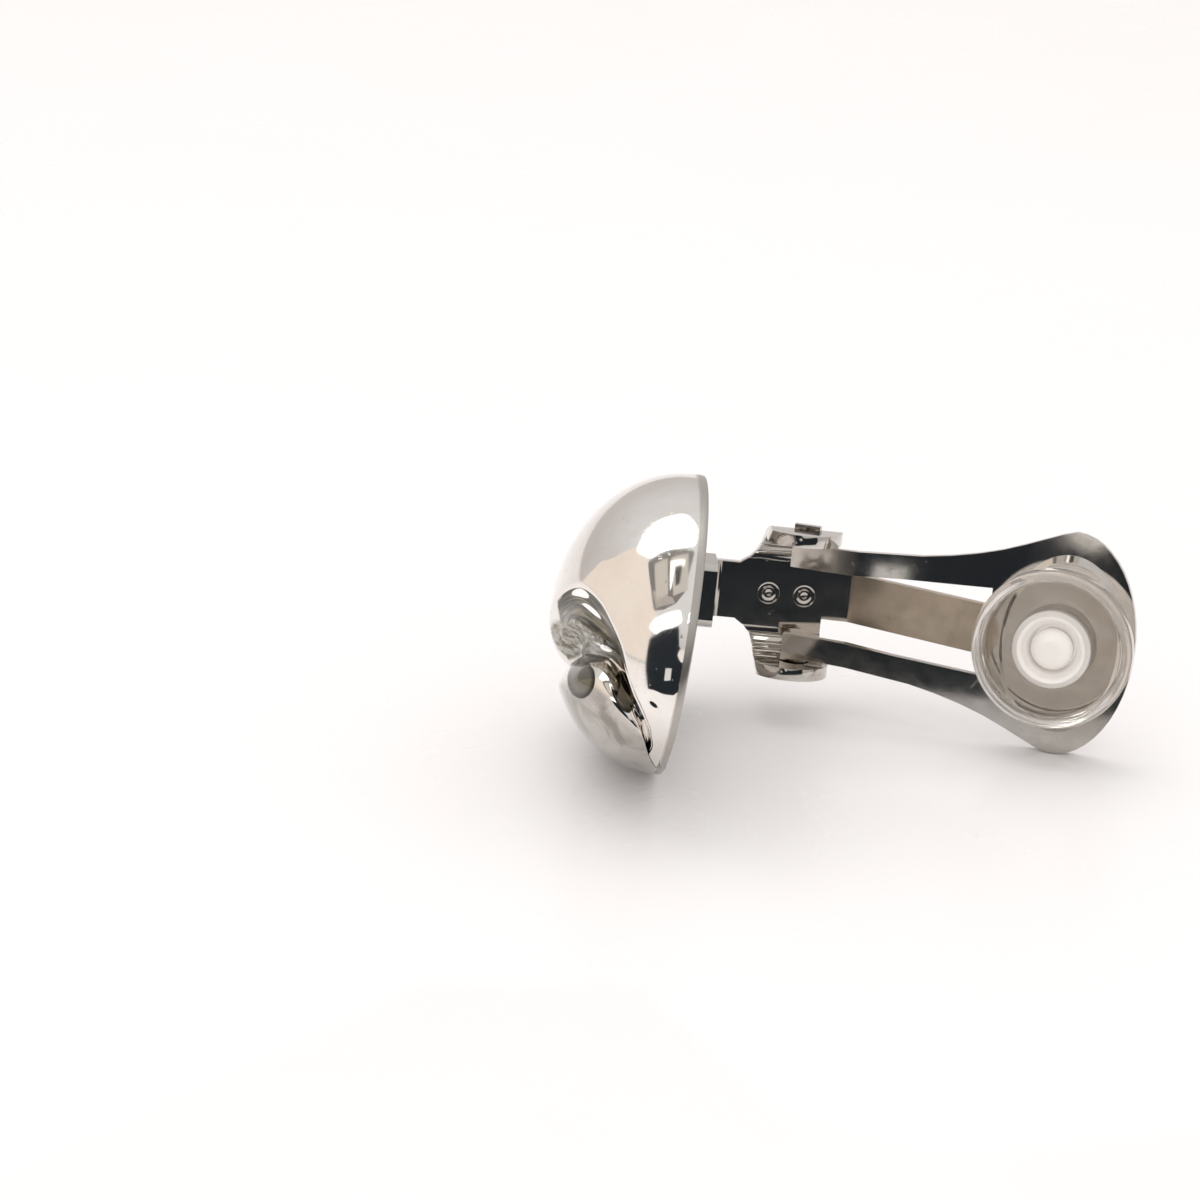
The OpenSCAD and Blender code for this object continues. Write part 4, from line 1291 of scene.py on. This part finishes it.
class EARRING_OT_stage(bpy.types.Operator):
    """Makes the floor, the cards, the light and the camera"""

    bl_idname = "earring.make_stage"
    bl_label = "Stage"

    def execute(self, context):
        stage = settings().stage
        bm = bmesh.new()
        bmesh.ops.create_grid(bm, x_segments=8, y_segments=8, size=stage.floor)
        floor = finish_mesh(bm, "floor")
        floor.data.materials.append(floor_surface())
        for number, card in enumerate(CARDS):
            bm = card_mesh(card, stage.reach * (1 - CARD_STEP * number), number)
            made = finish_mesh(bm, card.name)
            made.data.materials.append(card_surface(card.name, card.tone, card.strength))
            only_in_reflections(made)
        self.light()
        self.world(context.scene)
        self.camera(context.scene, stage)
        return {"FINISHED"}

    def light(self):
        """One large soft light overhead, a little behind the earring."""
        data = bpy.data.lights.new("soft_light", "AREA")
        data.shape = "RECTANGLE"
        data.size = 0.7
        data.size_y = 0.5
        data.energy = 1.7
        data.color = (1, 0.985, 0.97)
        made = bpy.data.objects.new("soft_light", data)
        made.location = (-0.15, 0.25, 0.7)
        direction = Vector((0, 0, 0)) - made.location
        made.rotation_euler = direction.to_track_quat("-Z", "Y").to_euler()
        made.visible_glossy = False
        bpy.context.scene.collection.objects.link(made)

    def world(self, scene):
        """A pale room, and a plainer, darker one that only reflections show."""
        world = bpy.data.worlds.new("pale_room")
        world.use_nodes = True
        world.node_tree.nodes.clear()
        graph = Graph(world.node_tree)
        along = graph.node("ShaderNodeTexCoord").outputs["Generated"]
        parts = graph.node("ShaderNodeSeparateXYZ", along)
        up = graph.band(parts.outputs[2], 0.0, 0.75)
        tone = graph.mix(up, (0.60, 0.565, 0.545), (0.80, 0.79, 0.78))
        shown = graph.node("ShaderNodeBackground", tone, 1.0)
        lit = graph.node("ShaderNodeBackground", (0.975, 0.965, 0.96, 1), 1.09)
        path = graph.node("ShaderNodeLightPath").outputs["Is Glossy Ray"]
        both = graph.node("ShaderNodeMixShader", path, lit.outputs[0], shown.outputs[0])
        graph.node("ShaderNodeOutputWorld", both.outputs[0])
        scene.world = world
        scene.view_settings.view_transform = "Standard"

    def camera(self, scene, stage):
        """The camera at the photo's viewing angle."""
        data = bpy.data.cameras.new("camera")
        data.sensor_width = 36
        data.lens = stage.lens
        data.clip_start = 0.01
        made = bpy.data.objects.new("camera", data)
        turned = Matrix.Rotation(-stage.swing, 4, "Z")
        tilted = Matrix.Rotation(math.radians(90) - stage.tilt, 4, "X")
        rolled = Matrix.Rotation(stage.roll, 4, "Z")
        made.matrix_world = Matrix.Translation(stage.camera) @ turned @ tilted @ rolled
        scene.collection.objects.link(made)
        scene.camera = made


class EarringSettings(bpy.types.PropertyGroup):
    """Everything that a user would change"""

    front: PointerProperty(type=FrontSizes)
    cap: PointerProperty(type=CapSizes)
    bracket: PointerProperty(type=BracketSizes)
    pad: PointerProperty(type=PadSizes)
    finish: PointerProperty(type=Finish)
    stage: PointerProperty(type=StageSizes)


class EARRING_PT_panel(bpy.types.Panel):
    """Lists the pieces and their settings"""

    bl_label = "Clip on earring"
    bl_idname = "EARRING_PT_panel"
    bl_space_type = "VIEW_3D"
    bl_region_type = "UI"
    bl_category = "Earring"

    def draw(self, context):
        for operator in OPERATORS:
            self.layout.operator(operator.bl_idname)
        for part in ("front", "cap", "bracket", "pad", "finish", "stage"):
            group = getattr(context.scene.swirl_earring, part)
            box = self.layout.box()
            box.label(text=part.capitalize())
            for name in group.__annotations__:
                box.prop(group, name)


OPERATORS = [
    EARRING_OT_front,
    EARRING_OT_bracket,
    EARRING_OT_solder,
    EARRING_OT_paddle,
    EARRING_OT_pad,
    EARRING_OT_stage,
]
CLASSES = [
    FrontSizes,
    CapSizes,
    BracketSizes,
    PadSizes,
    Finish,
    StageSizes,
    EarringSettings,
    *OPERATORS,
    EARRING_PT_panel,
]


def register():
    for made in CLASSES:
        bpy.utils.register_class(made)
    bpy.types.Scene.swirl_earring = PointerProperty(type=EarringSettings)


def unregister():
    del bpy.types.Scene.swirl_earring
    for made in reversed(CLASSES):
        bpy.utils.unregister_class(made)


def main():
    register()
    bpy.ops.earring.make_front()
    bpy.ops.earring.make_bracket()
    bpy.ops.earring.make_solder()
    bpy.ops.earring.make_paddle()
    bpy.ops.earring.make_pad()
    bpy.ops.earring.make_stage()


if __name__ == "__main__":
    main()
